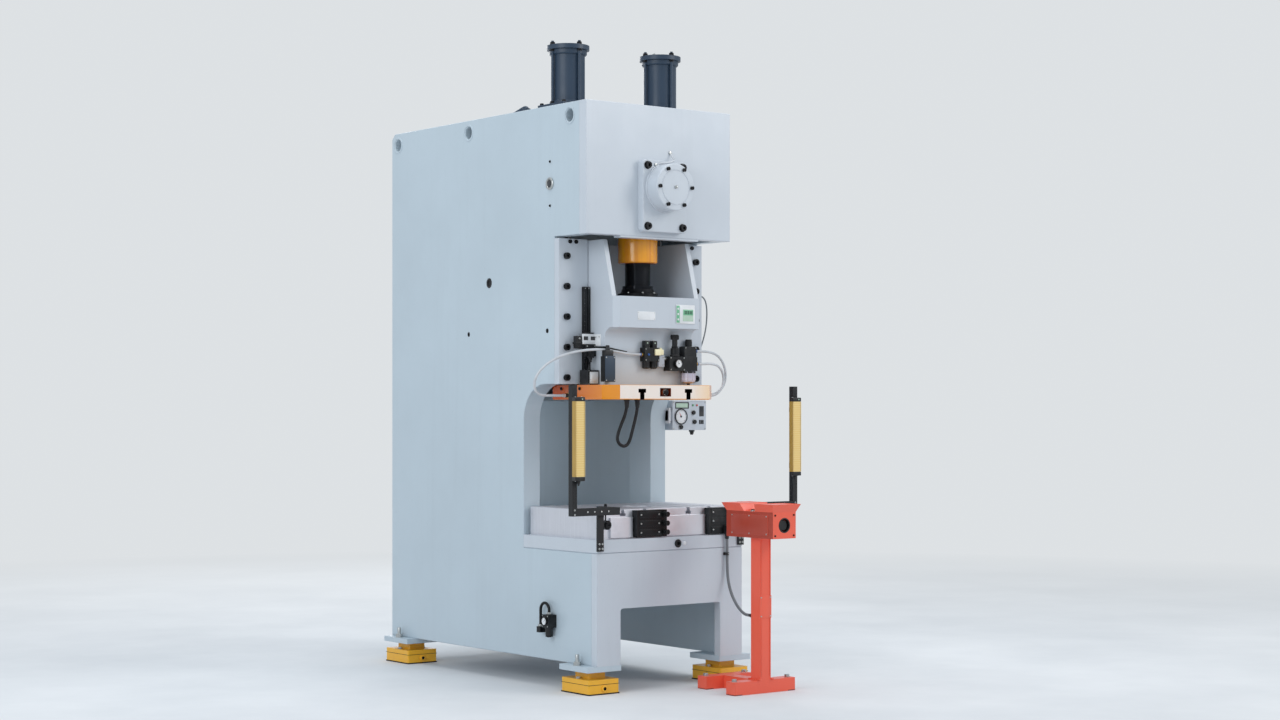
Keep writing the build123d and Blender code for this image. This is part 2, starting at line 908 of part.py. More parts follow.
# Round cap over the crankshaft's nose
with BuildPart() as bearing_cap:
    bar_y(0, (cap_front_y, housing_front_y), crank_z, cap_r)
    fillet(bearing_cap.edges().filter_by(GeomType.CIRCLE).sort_by(Axis.Y)[0], 2 * edge_break)
    bar_y(0, (cap_front_y + cap_wall, housing_front_y), crank_z, cap_cavity_r, Mode.SUBTRACT)
    for bolt_x, bolt_z in cap_bolt_spots:
        bar_y(bolt_x, (cap_front_y, housing_front_y), bolt_z, small_bolt_r, Mode.SUBTRACT)
bearing_cap.part.label = "bearing_cap"
export_step(bearing_cap.part, "parts/bearing_cap.step")

# Balance cylinders on the roof: base, tube, top flange, four tie rods and an air pipe
for side, hand in hands:
    with BuildPart() as balance_cylinder:
        x = side * balance_x
        y = head_y + balance_d
        base_top = frame_top + balance_base_t
        flange_bottom = balance_top - balance_flange_t
        with Locations((x, y, (frame_top + base_top) / 2)):
            Box(balance_base, balance_base, balance_base_t)
        bar_z(x, y, (base_top, flange_bottom), balance_tube_r)
        bar_z(x, y, (flange_bottom, balance_top), balance_flange_r)
        with Locations((x, y, (base_top + balance_top + tie_rod_proud) / 2)):
            with PolarLocations(tie_rod_circle_r, 4):
                Cylinder(tie_rod_r, balance_top + tie_rod_proud - base_top)
        pipe_start = y + balance_base / 2
        pipe_z = frame_top + air_pipe_r
        bar_y(x, (pipe_start, pipe_start + air_pipe_length), pipe_z, air_pipe_r)
        bar_z(x, pipe_start + air_pipe_length - air_pipe_r, (pipe_z, pipe_z + 2 * air_pipe_r), air_pipe_r)
        bar_z(x, y, (base_top, flange_bottom), balance_bore_r, Mode.SUBTRACT)
        bar_z(x, y, (frame_top, base_top), balance_rod_r + running, Mode.SUBTRACT)
    balance_cylinder.part.label = f"{hand}_balance_cylinder"
    export_step(balance_cylinder.part, f"parts/{hand}_balance_cylinder.step")

# Motor: finned body, feet, terminal box and the seat for its shaft
with BuildPart() as motor:
    motor_front_y = head_y + flywheel_d + flywheel_width + motor_gap
    motor_rear_y = motor_front_y + motor_length
    bar_y(0, (motor_front_y, motor_rear_y), motor_z, motor_r)
    fin_front_y = motor_front_y + 2 * motor_fin_height
    with BuildSketch(facing_front(fin_front_y)):
        with Locations((0, motor_z)):
            with PolarLocations(motor_r + motor_fin_height / 2 - 1, motor_fins):
                Rectangle(motor_fin_height + 2, motor_fin_t)
    extrude(amount=-(motor_length - 4 * motor_fin_height))
    foot_x = motor_foot_width / 2
    foot_y = (fin_front_y, motor_rear_y - 2 * motor_fin_height)
    block((-foot_x, foot_x), foot_y, (motor_base_top, motor_z - motor_r / 2))
    box_half = motor_r / 2
    box_x = (motor_r - motor_fin_height, motor_r + box_half)
    block(box_x, (fin_front_y + box_half, fin_front_y + 3 * box_half), (motor_z, motor_z + motor_r))
    seat_y = (motor_front_y, motor_front_y + motor_seat_depth)
    bar_y(0, seat_y, motor_z, motor_shaft_r + running, Mode.SUBTRACT)
motor.part.label = "motor"
export_step(motor.part, "parts/motor.step")

# V belts from the motor pulley to the flywheel
belt_span = pinion_z - motor_z
belt_slope = asin((flywheel_r - pulley_r) / belt_span)
upper_r = flywheel_r - belt_height / 2
lower_r = pulley_r - belt_height / 2
with BuildPart() as drive_belts:
    for belt in range(belt_count):
        y = groove_middle_y + (belt - (belt_count - 1) / 2) * belt_pitch
        upper_x = upper_r * cos(belt_slope)
        upper_z = pinion_z - upper_r * sin(belt_slope)
        lower_x = lower_r * cos(belt_slope)
        lower_z = motor_z - lower_r * sin(belt_slope)
        with BuildLine():
            Line((lower_x, y, lower_z), (upper_x, y, upper_z))
            ThreePointArc((upper_x, y, upper_z), (0, y, pinion_z + upper_r), (-upper_x, y, upper_z))
            Line((-upper_x, y, upper_z), (-lower_x, y, lower_z))
            ThreePointArc((-lower_x, y, lower_z), (0, y, motor_z - lower_r), (lower_x, y, lower_z))
        rise = Vector(upper_x - lower_x, 0, upper_z - lower_z)
        with BuildSketch(Plane(origin=(lower_x, y, lower_z), x_dir=(0, 1, 0), z_dir=rise)):
            Polygon(
                (-belt_outer_width / 2, -belt_height / 2),
                (belt_outer_width / 2, -belt_height / 2),
                (belt_inner_width / 2, belt_height / 2),
                (-belt_inner_width / 2, belt_height / 2),
                align=None,
            )
        sweep()
drive_belts.part.label = "drive_belts"
export_step(drive_belts.part, "parts/drive_belts.step")

# Light curtain bars, and the posts and arms that hold them
for side, hand in hands:
    bar_x_span = (side * (curtain_x - curtain_width / 2), side * (curtain_x + curtain_width / 2))
    with BuildPart() as light_curtain:
        block(bar_x_span, (post_front_y - curtain_t, post_front_y), (curtain_bottom, curtain_top))
        chamfer(light_curtain.edges().filter_by(Axis.Z).group_by(Axis.Y)[0], 2 * edge_break)
    light_curtain.part.label = f"{hand}_light_curtain"
    export_step(light_curtain.part, f"parts/{hand}_light_curtain.step")
    with BuildPart() as curtain_post:
        arm_z = (post_bottom, post_bottom + arm_height)
        post_outer_x = curtain_x + curtain_width / 2
        post_x_span = (side * (post_outer_x - post_size), side * post_outer_x)
        block(post_x_span, (post_front_y, post_rear_y), (post_bottom, post_top))
        block((side * arm_x[0], side * post_outer_x), (post_front_y, post_rear_y), arm_z)
        foot_y = bed_front_y - arm_foot_t
        arm_x_span = (side * arm_x[0], side * arm_x[1])
        block(arm_x_span, (post_front_y, bed_front_y), arm_z)
        block(arm_x_span, (foot_y, bed_front_y), (arm_foot_bottom, post_bottom))
    curtain_post.part.label = f"{hand}_curtain_post"
    export_step(curtain_post.part, f"parts/{hand}_curtain_post.step")

# Linear scale on the left gib's front face
with BuildPart() as linear_scale:
    scale_span = (scale_x - scale_width / 2, scale_x + scale_width / 2)
    block(scale_span, (scale_front_y, gib_front_y), (scale_bottom, scale_top))
    groove_span = (scale_x - scale_width / 8, scale_x + scale_width / 8)
    groove_y = (scale_front_y, scale_front_y + scale_t / 3)
    block(groove_span, groove_y, (scale_bottom, scale_top), Mode.SUBTRACT)
linear_scale.part.label = "linear_scale"
export_step(linear_scale.part, "parts/linear_scale.step")

# Operator box on its arm, with a round dial and a display frame
with BuildPart() as operator_box:
    block((panel_left_x, panel_right_x), (panel_y, panel_y + panel_depth), (panel_bottom, panel_top))
    fillet(operator_box.edges().filter_by(Axis.Y), 2 * edge_break)
    arm_middle_z = (panel_bottom + panel_top) / 2
    arm_y = (panel_y + (panel_depth - panel_arm) / 2, panel_y + (panel_depth + panel_arm) / 2)
    block((half_width, panel_left_x), arm_y, (arm_middle_z - panel_arm / 2, arm_middle_z + panel_arm / 2))
    bar_y(dial_x, (panel_y - dial_proud, panel_y), dial_z, dial_r)
    bar_y(dial_x, (panel_y - dial_proud, panel_y - dial_proud / 2), dial_z, dial_r * 0.88, Mode.SUBTRACT)
    display_x_span = (display_x - display_width / 2, display_x + display_width / 2)
    display_z_span = (display_z - display_height / 2, display_z + display_height / 2)
    block(display_x_span, (panel_y, panel_y + edge_break), display_z_span, Mode.SUBTRACT)
    for label, button_inset, button_z in panel_buttons:
        button_x = panel_left_x + button_inset
        seat = (panel_y, panel_y + panel_button_seat + panel_button_travel + air_gap)
        bar_y(button_x, seat, button_z, panel_button_r + running, Mode.SUBTRACT)
operator_box.part.label = "operator_box"
export_step(operator_box.part, "parts/operator_box.step")

# Control cabinet: shell with an inner lip, mounting plate with three drive units, hinge ears and pins
with BuildPart() as control_cabinet:
    cabinet_z = (cabinet_bottom, cabinet_top)
    block((half_width, cabinet_face_x), (cabinet_front_y, cabinet_rear_y), cabinet_z)
    inside_y = (cabinet_front_y + cabinet_wall, cabinet_rear_y - cabinet_wall)
    inside_z = (cabinet_bottom + cabinet_wall, cabinet_top - cabinet_wall)
    block((half_width + cabinet_wall, cabinet_face_x - cabinet_wall), inside_y, inside_z, Mode.SUBTRACT)
    mouth_y = (cabinet_front_y + cabinet_lip, cabinet_rear_y - cabinet_lip)
    mouth_z = (cabinet_bottom + cabinet_lip, cabinet_top - cabinet_lip)
    block((cabinet_face_x - cabinet_wall, cabinet_face_x), mouth_y, mouth_z, Mode.SUBTRACT)
    unit_width = cabinet_length / 5
    for unit in range(3):
        unit_y = cabinet_front_y + cabinet_length * (unit + 1) / 4
        unit_span = (unit_y - unit_width / 2, unit_y + unit_width / 2)
        unit_x = (half_width + cabinet_wall, half_width + cabinet_depth / 2)
        block(unit_x, unit_span, (cabinet_bottom + cabinet_height / 3, cabinet_top - cabinet_height / 5))
    for hinge_z in (cabinet_bottom + hinge_inset, cabinet_top - hinge_inset):
        reach = hinge_barrel_length / 2 + guide_gap
        for ear_z in (hinge_z - reach - hinge_ear_t, hinge_z + reach):
            ear_x = (cabinet_face_x - hinge_barrel_r, hinge_x)
            block(ear_x, (cabinet_rear_y, hinge_y + hinge_barrel_r), (ear_z, ear_z + hinge_ear_t))
            bar_z(hinge_x, hinge_y, (ear_z, ear_z + hinge_ear_t), hinge_barrel_r)
        bar_z(hinge_x, hinge_y, (hinge_z - reach, hinge_z + reach), hinge_pin_r)
control_cabinet.part.label = "control_cabinet"
export_step(control_cabinet.part, "parts/control_cabinet.step")

# Cabinet door: a folded pan with two hinge barrels and the latch's hole
latch_y = cabinet_front_y + latch_inset
latch_z = (cabinet_bottom + cabinet_top) / 2
with BuildPart() as cabinet_door:
    door_rear_y = cabinet_rear_y - guide_gap
    block((door_x, door_face_x), (cabinet_front_y, door_rear_y), cabinet_z)
    pan_y = (cabinet_front_y + door_skin, door_rear_y - door_skin)
    pan_z = (cabinet_bottom + door_skin, cabinet_top - door_skin)
    block((door_x, door_face_x - door_skin), pan_y, pan_z, Mode.SUBTRACT)
    for hinge_z in (cabinet_bottom + hinge_inset, cabinet_top - hinge_inset):
        barrel_z = (hinge_z - hinge_barrel_length / 2, hinge_z + hinge_barrel_length / 2)
        block((hinge_x - hinge_barrel_r, hinge_x + hinge_barrel_r), (door_rear_y, hinge_y), barrel_z)
        bar_z(hinge_x, hinge_y, barrel_z, hinge_barrel_r)
        bar_z(hinge_x, hinge_y, barrel_z, hinge_pin_r + running, Mode.SUBTRACT)
    bar_x((door_x, door_face_x), latch_y, latch_z, latch_r + running, Mode.SUBTRACT)
cabinet_door.part.label = "cabinet_door"
export_step(cabinet_door.part, "parts/cabinet_door.step")

# Swing latch of the door
with BuildPart() as cabinet_latch:
    bar_x((door_x + guide_gap, door_face_x + latch_proud), latch_y, latch_z, latch_r)
    bar_x((door_face_x + guide_gap, door_face_x + latch_proud / 2), latch_y, latch_z, latch_width)
    grip_x = (door_face_x + latch_proud / 2, door_face_x + latch_proud)
    grip_y = (latch_y - latch_width / 2, latch_y + latch_width / 2)
    block(grip_x, grip_y, (latch_z - latch_length, latch_z + latch_width / 2))
    fillet(cabinet_latch.edges().filter_by(Axis.X), edge_break)
cabinet_latch.part.label = "cabinet_latch"
export_step(cabinet_latch.part, "parts/cabinet_latch.step")

# Air unit low on the left side plate: body, bowl and a looped pipe back into its plug
with BuildPart() as side_air_unit:
    unit_y = head_y + air_unit_d
    pipe_x = -half_width - air_unit_depth / 2
    unit_y_span = (unit_y - air_unit_width / 2, unit_y + air_unit_width / 2)
    unit_z_span = (air_unit_z - air_unit_height / 2, air_unit_z + air_unit_height / 2)
    block((-half_width - air_unit_depth, -half_width), unit_y_span, unit_z_span)
    bar_z(pipe_x, unit_y, (unit_z_span[0] - air_bowl_length, unit_z_span[0]), air_bowl_r)
    loop_z = unit_z_span[1] + air_loop_r / 2
    pipe_end_y = unit_y + 2 * air_loop_r
    pipe_end_z = unit_z_span[0]
    with BuildLine() as air_loop:
        rise_line = Line((pipe_x, unit_y, unit_z_span[1]), (pipe_x, unit_y, loop_z))
        ThreePointArc(
            rise_line @ 1,
            (pipe_x, unit_y + air_loop_r, loop_z + air_loop_r),
            (pipe_x, pipe_end_y, loop_z),
        )
        Line((pipe_x, pipe_end_y, loop_z), (pipe_x, pipe_end_y, pipe_end_z))
    with BuildSketch(Plane(origin=air_loop.line @ 0, z_dir=air_loop.line % 0)):
        Circle(air_loop_tube_r)
    sweep()
    plug_y_span = (pipe_end_y - 2 * air_loop_tube_r, pipe_end_y + 2 * air_loop_tube_r)
    plug_x_span = (-half_width - air_unit_depth / 2 - 2 * air_loop_tube_r, -half_width)
    block(plug_x_span, plug_y_span, (pipe_end_z - 4 * air_loop_tube_r, pipe_end_z))
side_air_unit.part.label = "side_air_unit"
export_step(side_air_unit.part, "parts/side_air_unit.step")

# Two-hand control stand: base bars, column, head with end pockets and flared hoods, stop collar
with BuildPart() as two_hand_stand:
    base_z = (0, stand_base_height)
    bar_half = stand_base_bar / 2
    column_half = stand_column / 2
    front_bar = (stand_x - stand_base_width / 2, stand_x + stand_base_width / 2)
    block(front_bar, (stand_y - bar_half, stand_y + bar_half), base_z)
    rear_bar_y = stand_y + stand_rear_bar_offset
    rear_bar = (stand_x - stand_rear_bar_width / 2, stand_x + stand_rear_bar_width / 2)
    block(rear_bar, (rear_bar_y - bar_half, rear_bar_y + bar_half), base_z)
    block((stand_x - column_half, stand_x + column_half), (stand_y, rear_bar_y), base_z)
    column_x = (stand_x - column_half, stand_x + column_half)
    column_y = (stand_y - column_half, stand_y + column_half)
    block(column_x, column_y, (stand_base_height, stand_head_bottom))
    head_x = (stand_x - stand_head_width / 2, stand_x + stand_head_width / 2)
    block(head_x, (stand_head_front_y, stand_head_rear_y), (stand_head_bottom, stand_head_top))
    pocket_z = stand_head_bottom + stand_head_height / 2
    stem_seat = palm_button_t + palm_travel + air_gap
    for end, end_y in ((-1, stand_head_front_y), (1, stand_head_rear_y)):
        top_x = (head_x[0] - hood_flare, head_x[1] + hood_flare)
        top_y = (end_y + end * hood_overhang, end_y - end * hood_top_length)
        with BuildSketch(Plane.XY.offset(stand_head_top)):
            span_rectangle(head_x, (end_y, end_y - end * hood_length))
        with BuildSketch(Plane.XY.offset(stand_head_top + hood_height)):
            span_rectangle(top_x, top_y)
        loft()
        pocket_floor = end_y - end * palm_pocket_depth
        bar_y(stand_x, (end_y, pocket_floor), pocket_z, palm_pocket_r, Mode.SUBTRACT)
        stem_y = (pocket_floor, pocket_floor - end * stem_seat)
        bar_y(stand_x, stem_y, pocket_z, palm_stem_r + running, Mode.SUBTRACT)
    collar_z = (stand_head_top, stand_head_top + stop_collar_t)
    bar_z(stand_x, stand_y, collar_z, stop_collar_r)
    stop_seat = (stand_head_top - stop_t, stand_head_top + stop_collar_t)
    bar_z(stand_x, stand_y, stop_seat, stop_stem_r + running, Mode.SUBTRACT)
two_hand_stand.part.label = "two_hand_stand"
export_step(two_hand_stand.part, "parts/two_hand_stand.step")

# Black fittings of the fixed cords: conduit elbow, clip and column gland, wire gland and plug
with BuildPart() as conduit_fittings:
    elbow_x = (conduit_x - elbow_width / 2, conduit_x + elbow_width / 2)
    block(elbow_x, (bed_front_y - elbow_reach, valve_front_y), (conduit_top, conduit_top + elbow_height))
    clip_z = (seam_z - clip_drop, seam_z - clip_drop + clip_height)
    bar_z(conduit_x, conduit_y, clip_z, conduit_diameter / 2 + clip_wall)
    block(elbow_x, (bed_front_y - 2 * edge_break, bed_front_y), clip_z)
    bar_z(conduit_x, conduit_y, clip_z, conduit_diameter / 2 + air_gap, Mode.SUBTRACT)
    gland_y = stand_y + stand_column / 2
    stand_gland_y = (gland_y, gland_y + stand_gland_length)
    bar_y(stand_x, stand_gland_y, stand_gland_z, conduit_diameter / 2 + clip_wall)
    bar_x((half_width, half_width + wire_gland_length), wire_y, wire_top_z, wire_diameter)
    plug_y = (wire_y - wire_plug_offset - wire_plug_length, wire_y - wire_plug_offset)
    plug_z = (wire_plug_z - wire_plug_height, wire_plug_z)
    block((half_width, half_width + wire_plug_depth), plug_y, plug_z)
conduit_fittings.part.label = "conduit_fittings"
export_step(conduit_fittings.part, "parts/conduit_fittings.step")

# Conduit from the bolster valves down the bed's leg and across to the stand
stand_conduit_points = [
    (380, -736, 830),
    (380, -736, 660),
    (378, -747, 566),
    (368, -787, 498),
    (350, -848, 448),
    (325, -916, 418),
    (296, -982, 406),
    (270, -1036, 405),
    (270, -1080.5, 405),
]
with BuildPart() as stand_conduit:
    cord_tube("stand_conduit", stand_conduit_points, conduit_diameter)
stand_conduit.part.label = "stand_conduit"
export_step(stand_conduit.part, "parts/stand_conduit.step")

# Thin wire on the right side plate
side_wire_points = [
    (518, -290, 2165),
    (552, -290, 2165),
    (582, -294, 2146),
    (592, -300, 2104),
    (588, -308, 2040),
    (572, -316, 1968),
    (548, -322, 1906),
    (526, -325, 1860),
    (511, -326, 1834),
    (511, -326, 1810),
]
with BuildPart() as side_wire:
    cord_tube("side_wire", side_wire_points, wire_diameter)
side_wire.part.label = "side_wire"
export_step(side_wire.part, "parts/side_wire.step")

# Crankshaft with its throw at the top
with BuildPart() as crankshaft:
    front_web_y = pin_front_y - web_t
    rear_web_y = pin_rear_y + web_t
    bar_y(0, (head_y + crank_nose_d, front_web_y), crank_z, journal_r)
    bar_y(0, (rear_web_y, head_y + crank_end_d), crank_z, journal_r)
    bar_y(0, (pin_front_y, pin_rear_y), pin_z, crank_pin_r)
    for web_y in (pin_front_y, rear_web_y):
        with BuildSketch(facing_front(web_y)):
            with Locations((0, crank_z)):
                Circle(web_r)
            with Locations((0, pin_z)):
                Circle(web_pin_r)
            make_hull()
        extrude(amount=web_t)
    chamfer(crankshaft.faces().sort_by(Axis.Y)[0].edges(), edge_break)
crankshaft.part.label = "crankshaft"
export_step(crankshaft.part, "parts/crankshaft.step")

# Main gear on the crankshaft
with BuildPart() as main_gear:
    gear_y = head_y + gear_d
    with BuildSketch(facing_front(gear_y)):
        with Locations((0, crank_z)):
            gear_outline(gear_teeth, gear_module, -90)
    extrude(amount=-gear_width)
    rim_inner_r = gear_pitch_r - gear_rim
    recess = (gear_width - gear_web_t) / 2
    for face_y, recess_y in ((gear_y, recess), (gear_y + gear_width, -recess)):
        bar_y(0, (face_y, face_y + recess_y), crank_z, rim_inner_r, Mode.SUBTRACT)
    bar_y(0, (gear_y, gear_y + gear_width), crank_z, gear_hub_r)
    with BuildSketch(facing_front(gear_y)):
        with Locations((0, crank_z)):
            with PolarLocations((gear_hub_r + rim_inner_r) / 2, gear_holes):
                Circle(gear_hole_r)
    extrude(amount=-gear_width, mode=Mode.SUBTRACT)
    bar_y(0, (gear_y, gear_y + gear_width), crank_z, journal_r, Mode.SUBTRACT)
main_gear.part.label = "main_gear"
export_step(main_gear.part, "parts/main_gear.step")

# Connecting rod's big end on the crank pin
with BuildPart() as big_end:
    big_end_y = (pin_front_y + big_end_side_gap, pin_rear_y - big_end_side_gap)
    bar_y(0, big_end_y, pin_z, big_end_r)
    block((-stub_width / 2, stub_width / 2), big_end_y, (rod_top + pivot_gap, pin_z))
    bar_y(0, big_end_y, pin_z, crank_pin_r + running, Mode.SUBTRACT)
big_end.part.label = "big_end"
export_step(big_end.part, "parts/big_end.step")

# Connecting rod's lower end, bored for the adjusting screw
with BuildPart() as connecting_rod:
    bar_z(0, rod_y, (rod_bottom, rod_top), rod_r)
    chamfer(connecting_rod.edges().filter_by(GeomType.CIRCLE), 2 * edge_break)
    bar_z(0, rod_y, (rod_bottom, screw_top + air_gap), screw_r + running, Mode.SUBTRACT)
connecting_rod.part.label = "connecting_rod"
export_step(connecting_rod.part, "parts/connecting_rod.step")

# Adjusting screw with its worm wheel collar
with BuildPart() as adjusting_screw:
    bar_z(0, rod_y, (box_top + guide_gap, screw_top), screw_r)
    collar_bottom = box_top + seat_height + guide_gap
    bar_z(0, rod_y, (collar_bottom, collar_bottom + seat_height / 2), seat_top_r)
adjusting_screw.part.label = "adjusting_screw"
export_step(adjusting_screw.part, "parts/adjusting_screw.step")

# Flared seat that holds the screw's foot on the slide, with its ring of bolts
with BuildPart() as ball_seat:
    flange_t = seat_height / 3
    bar_z(0, rod_y, (box_top, box_top + flange_t), seat_r)
    with Locations((0, rod_y, box_top + (flange_t + seat_height) / 2)):
        Cone(seat_top_r + 6, seat_top_r, seat_height - flange_t)
    with Locations((0, rod_y, box_top + flange_t + small_head_h / 2)):
        with PolarLocations(seat_r - small_head_r, seat_bolts):
            Cylinder(small_head_r * 0.8, small_head_h)
    bar_z(0, rod_y, (box_top, box_top + seat_height), screw_r + running, Mode.SUBTRACT)
ball_seat.part.label = "ball_seat"
export_step(ball_seat.part, "parts/ball_seat.step")

# Slide body: recessed lower block, front box, two cheeks and a tongue on each side
with BuildPart() as slide_body:
    with BuildSketch(Plane.YZ.offset(-slide_half)):
        with BuildLine():
            Polyline(
                (slide_face_y, box_bottom - recess_r),
                (slide_face_y, slide_bottom),
                (slide_rear_y, slide_bottom),
                (slide_rear_y, cheek_top),
                (head_y + cheek_head_d, cheek_top),
                (head_y + cheek_foot_d, box_top),
                (head_y, box_top),
                (head_y, box_bottom),
                (slide_face_y - recess_r, box_bottom),
            )
            recess_start = (slide_face_y - recess_r, box_bottom)
            RadiusArc(recess_start, (slide_face_y, box_bottom - recess_r), recess_r)
        make_face()
    extrude(amount=2 * slide_half)
    box_corners = slide_body.edges().filter_by(Axis.Z).group_by(Axis.Y)[0]
    chamfer(box_corners, box_bevel)
    pocket_x = (-slide_half + cheek_t, slide_half - cheek_t)
    pocket_y = (head_y, slide_rear_y - slide_rear_wall)
    block(pocket_x, pocket_y, (box_top, cheek_top), Mode.SUBTRACT)
    for side, hand in hands:
        tongue_y = (guide_y + guide_gap, slide_rear_y)
        block((side * slide_half, side * tongue_x), tongue_y, (tongue_bottom, tongue_top))
slide_body.part.label = "slide_body"
export_step(slide_body.part, "parts/slide_body.step")

# Slide face plate with T slots, shank hole and the clamp pocket in its front edge
with BuildPart() as slide_face_plate:
    plate_rear_y = head_y + face_plate_rear_d
    with BuildSketch(Plane.XY.offset(face_plate_bottom)):
        with BuildLine():
            Polyline(
                (-face_plate_half, plate_rear_y),
                (-face_plate_half, face_plate_front_y + face_plate_corner),
                (-face_plate_half + face_plate_corner, face_plate_front_y),
                (face_plate_half - face_plate_corner, face_plate_front_y),
                (face_plate_half, face_plate_front_y + face_plate_corner),
                (face_plate_half, plate_rear_y),
                close=True,
            )
        make_face()
    extrude(amount=face_plate_t)
    chamfer(slide_face_plate.faces().sort_by(Axis.Z)[0].edges(), edge_break)
    for slot_x in face_slot_x:
        slot_y = (face_plate_front_y, plate_rear_y)
        with Locations((slot_x, 0, 0)):
            tee_slot(
                0, face_plate_bottom, 1, slot_y,
                face_slot_stem, face_slot_head, face_slot_stem_depth, face_slot_head_height,
            )
    bar_z(0, rod_y, (face_plate_bottom, face_plate_bottom + shank_depth), shank_r, Mode.SUBTRACT)
    clamp_z = face_plate_bottom + face_plate_t / 2
    clamp_y = (face_plate_front_y, face_plate_front_y + clamp_pocket_depth)
    clamp_x_span = (-clamp_pocket_width / 2, clamp_pocket_width / 2)
    clamp_z_span = (clamp_z - clamp_pocket_height / 2, clamp_z + clamp_pocket_height / 2)
    block(clamp_x_span, clamp_y, clamp_z_span, Mode.SUBTRACT)
    bar_y(0, clamp_y, clamp_z, clamp_screw_r)
slide_face_plate.part.label = "slide_face_plate"
export_step(slide_face_plate.part, "parts/slide_face_plate.step")

# Balance pistons with their rods down to the slide's tongues
with BuildPart() as balance_pistons:
    for side, hand in hands:
        piston_top = balance_top - balance_flange_t - piston_head_room
        x = side * balance_x
        bar_z(x, head_y + balance_d, (tongue_top, piston_top), balance_rod_r)
        bar_z(x, head_y + balance_d, (piston_top - piston_t, piston_top), balance_bore_r - running)
balance_pistons.part.label = "balance_pistons"
export_step(balance_pistons.part, "parts/balance_pistons.step")

# Air valves on the slide's front: a twin solenoid block, a regulator with its bowl, and a terminal box
with BuildPart() as slide_valves:
    block(solenoid_x, (slide_face_y - solenoid_depth, slide_face_y), solenoid_z)
    coil_y = slide_face_y - coil_r - 4
    cap_y_span = (coil_y - coil_cap_width / 2, coil_y + coil_cap_width / 2)
    for coil_x in coil_x_spots:
        bar_z(coil_x, coil_y, (solenoid_z[0] - coil_length, solenoid_z[0]), coil_r)
        cap_x_span = (coil_x - coil_cap_width / 2, coil_x + coil_cap_width / 2)
        block(cap_x_span, cap_y_span, (solenoid_z[1], solenoid_z[1] + coil_cap_height))
    block(regulator_x, (slide_face_y - regulator_depth, slide_face_y), regulator_z)
    filter_top = regulator_z[1] + filter_height
    block(filter_x, (slide_face_y - filter_depth, slide_face_y), (regulator_z[1], filter_top))
    bowl_y = slide_face_y - bowl_r - 1
    bar_z(bowl_x, bowl_y, (regulator_z[0] - bowl_length, regulator_z[0]), bowl_r)
    neck_bottom = regulator_z[1] + adjuster_base_height
    knob_bottom = neck_bottom + adjuster_neck_height
    bar_z(adjuster_x, bowl_y, (regulator_z[1], neck_bottom), adjuster_base_r)
    bar_z(adjuster_x, bowl_y, (neck_bottom, knob_bottom), adjuster_neck_r)
    bar_z(adjuster_x, bowl_y, (knob_bottom, knob_bottom + adjuster_knob_height), adjuster_knob_r)
    cap_z_span = (filter_top, filter_top + filter_cap_height)
    bar_z(filter_cap_x, slide_face_y - filter_depth / 2, cap_z_span, filter_cap_r)
    block(terminal_x, (slide_face_y - terminal_depth, slide_face_y), terminal_z)
slide_valves.part.label = "slide_valves"
export_step(slide_valves.part, "parts/slide_valves.step")

# Reading head that runs over the linear scale
with BuildPart() as reading_head:
    head_block_x = (-slide_half - head_block_width, -slide_half)
    head_block_y = (scale_front_y - guide_gap - head_block_t, scale_front_y - guide_gap)
    block(head_block_x, head_block_y, (head_block_bottom, head_block_top))
    chamfer(reading_head.edges().filter_by(Axis.Z).group_by(Axis.Y)[0], 2 * edge_break)
reading_head.part.label = "reading_head"
export_step(reading_head.part, "parts/reading_head.step")

# Sensor junction box on top of the face plate
with BuildPart() as sensor_box:
    sensor_y = head_y + sensor_box_front_d
    sensor_x = (-slide_half - sensor_box_width * 0.75, -slide_half)
    sensor_z = (slide_bottom, slide_bottom + sensor_box_height)
    block(sensor_x, (sensor_y, scale_front_y - guide_gap), sensor_z)
    lid_x = (sensor_x[0] + 2 * edge_break, sensor_x[1] - 2 * edge_break)
    lid_z = (sensor_z[0] + 2 * edge_break, sensor_z[1] - 2 * edge_break)
    block(lid_x, (sensor_y, sensor_y + edge_break), lid_z, Mode.SUBTRACT)
sensor_box.part.label = "sensor_box"
export_step(sensor_box.part, "parts/sensor_box.step")

# Ports and glands that the slide's hoses and cable plug into
with BuildPart() as hose_ports:
    left_port_x = (-face_plate_half - port_length, -face_plate_half)
    right_port_x = (face_plate_half, face_plate_half + port_length)
    bar_x(left_port_x, left_port_y, left_port_z, port_r)
    bar_x(right_port_x, right_port_y, right_port_z, port_r)
    bar_x(right_port_x, lower_port_y, left_port_z, port_r)
    for gland_x in cable_gland_x:
        bar_z(gland_x, cable_y, (face_plate_bottom - gland_length, face_plate_bottom), gland_r)
hose_ports.part.label = "hose_ports"
export_step(hose_ports.part, "parts/hose_ports.step")

# Air hose from the solenoid block round the left gib to the face plate
left_hose_points = [
    (-60, -544, 1812),
    (-138, -544, 1812),
    (-228, -543, 1824),
    (-322, -524, 1838),
    (-416, -479, 1832),
    (-506, -427, 1808),
    (-578, -386, 1766),
    (-620, -354, 1716),
    (-636, -335, 1668),
    (-626, -320, 1624),
    (-595, -308, 1596),
    (-552, -302, 1586),
    (-482, -301, 1588),
    (-410, -301, 1588),
]
with BuildPart() as left_hose:
    cord_tube("left_hose", left_hose_points, hose_diameter)
left_hose.part.label = "left_hose"
export_step(left_hose.part, "parts/left_hose.step")

# Air hoses from the regulator round to the face plate's right side
right_hose_points = [
    (300, -544, 1836),
    (366, -544, 1836),
    (436, -536, 1831),
    (502, -520, 1810),
    (552, -506, 1762),
    (576, -493, 1702),
    (568, -483, 1644),
    (530, -476, 1606),
    (476, -472, 1592),
    (410, -472, 1592),
]
with BuildPart() as right_hose:
    cord_tube("right_hose", right_hose_points, hose_diameter)
right_hose.part.label = "right_hose"
export_step(right_hose.part, "parts/right_hose.step")

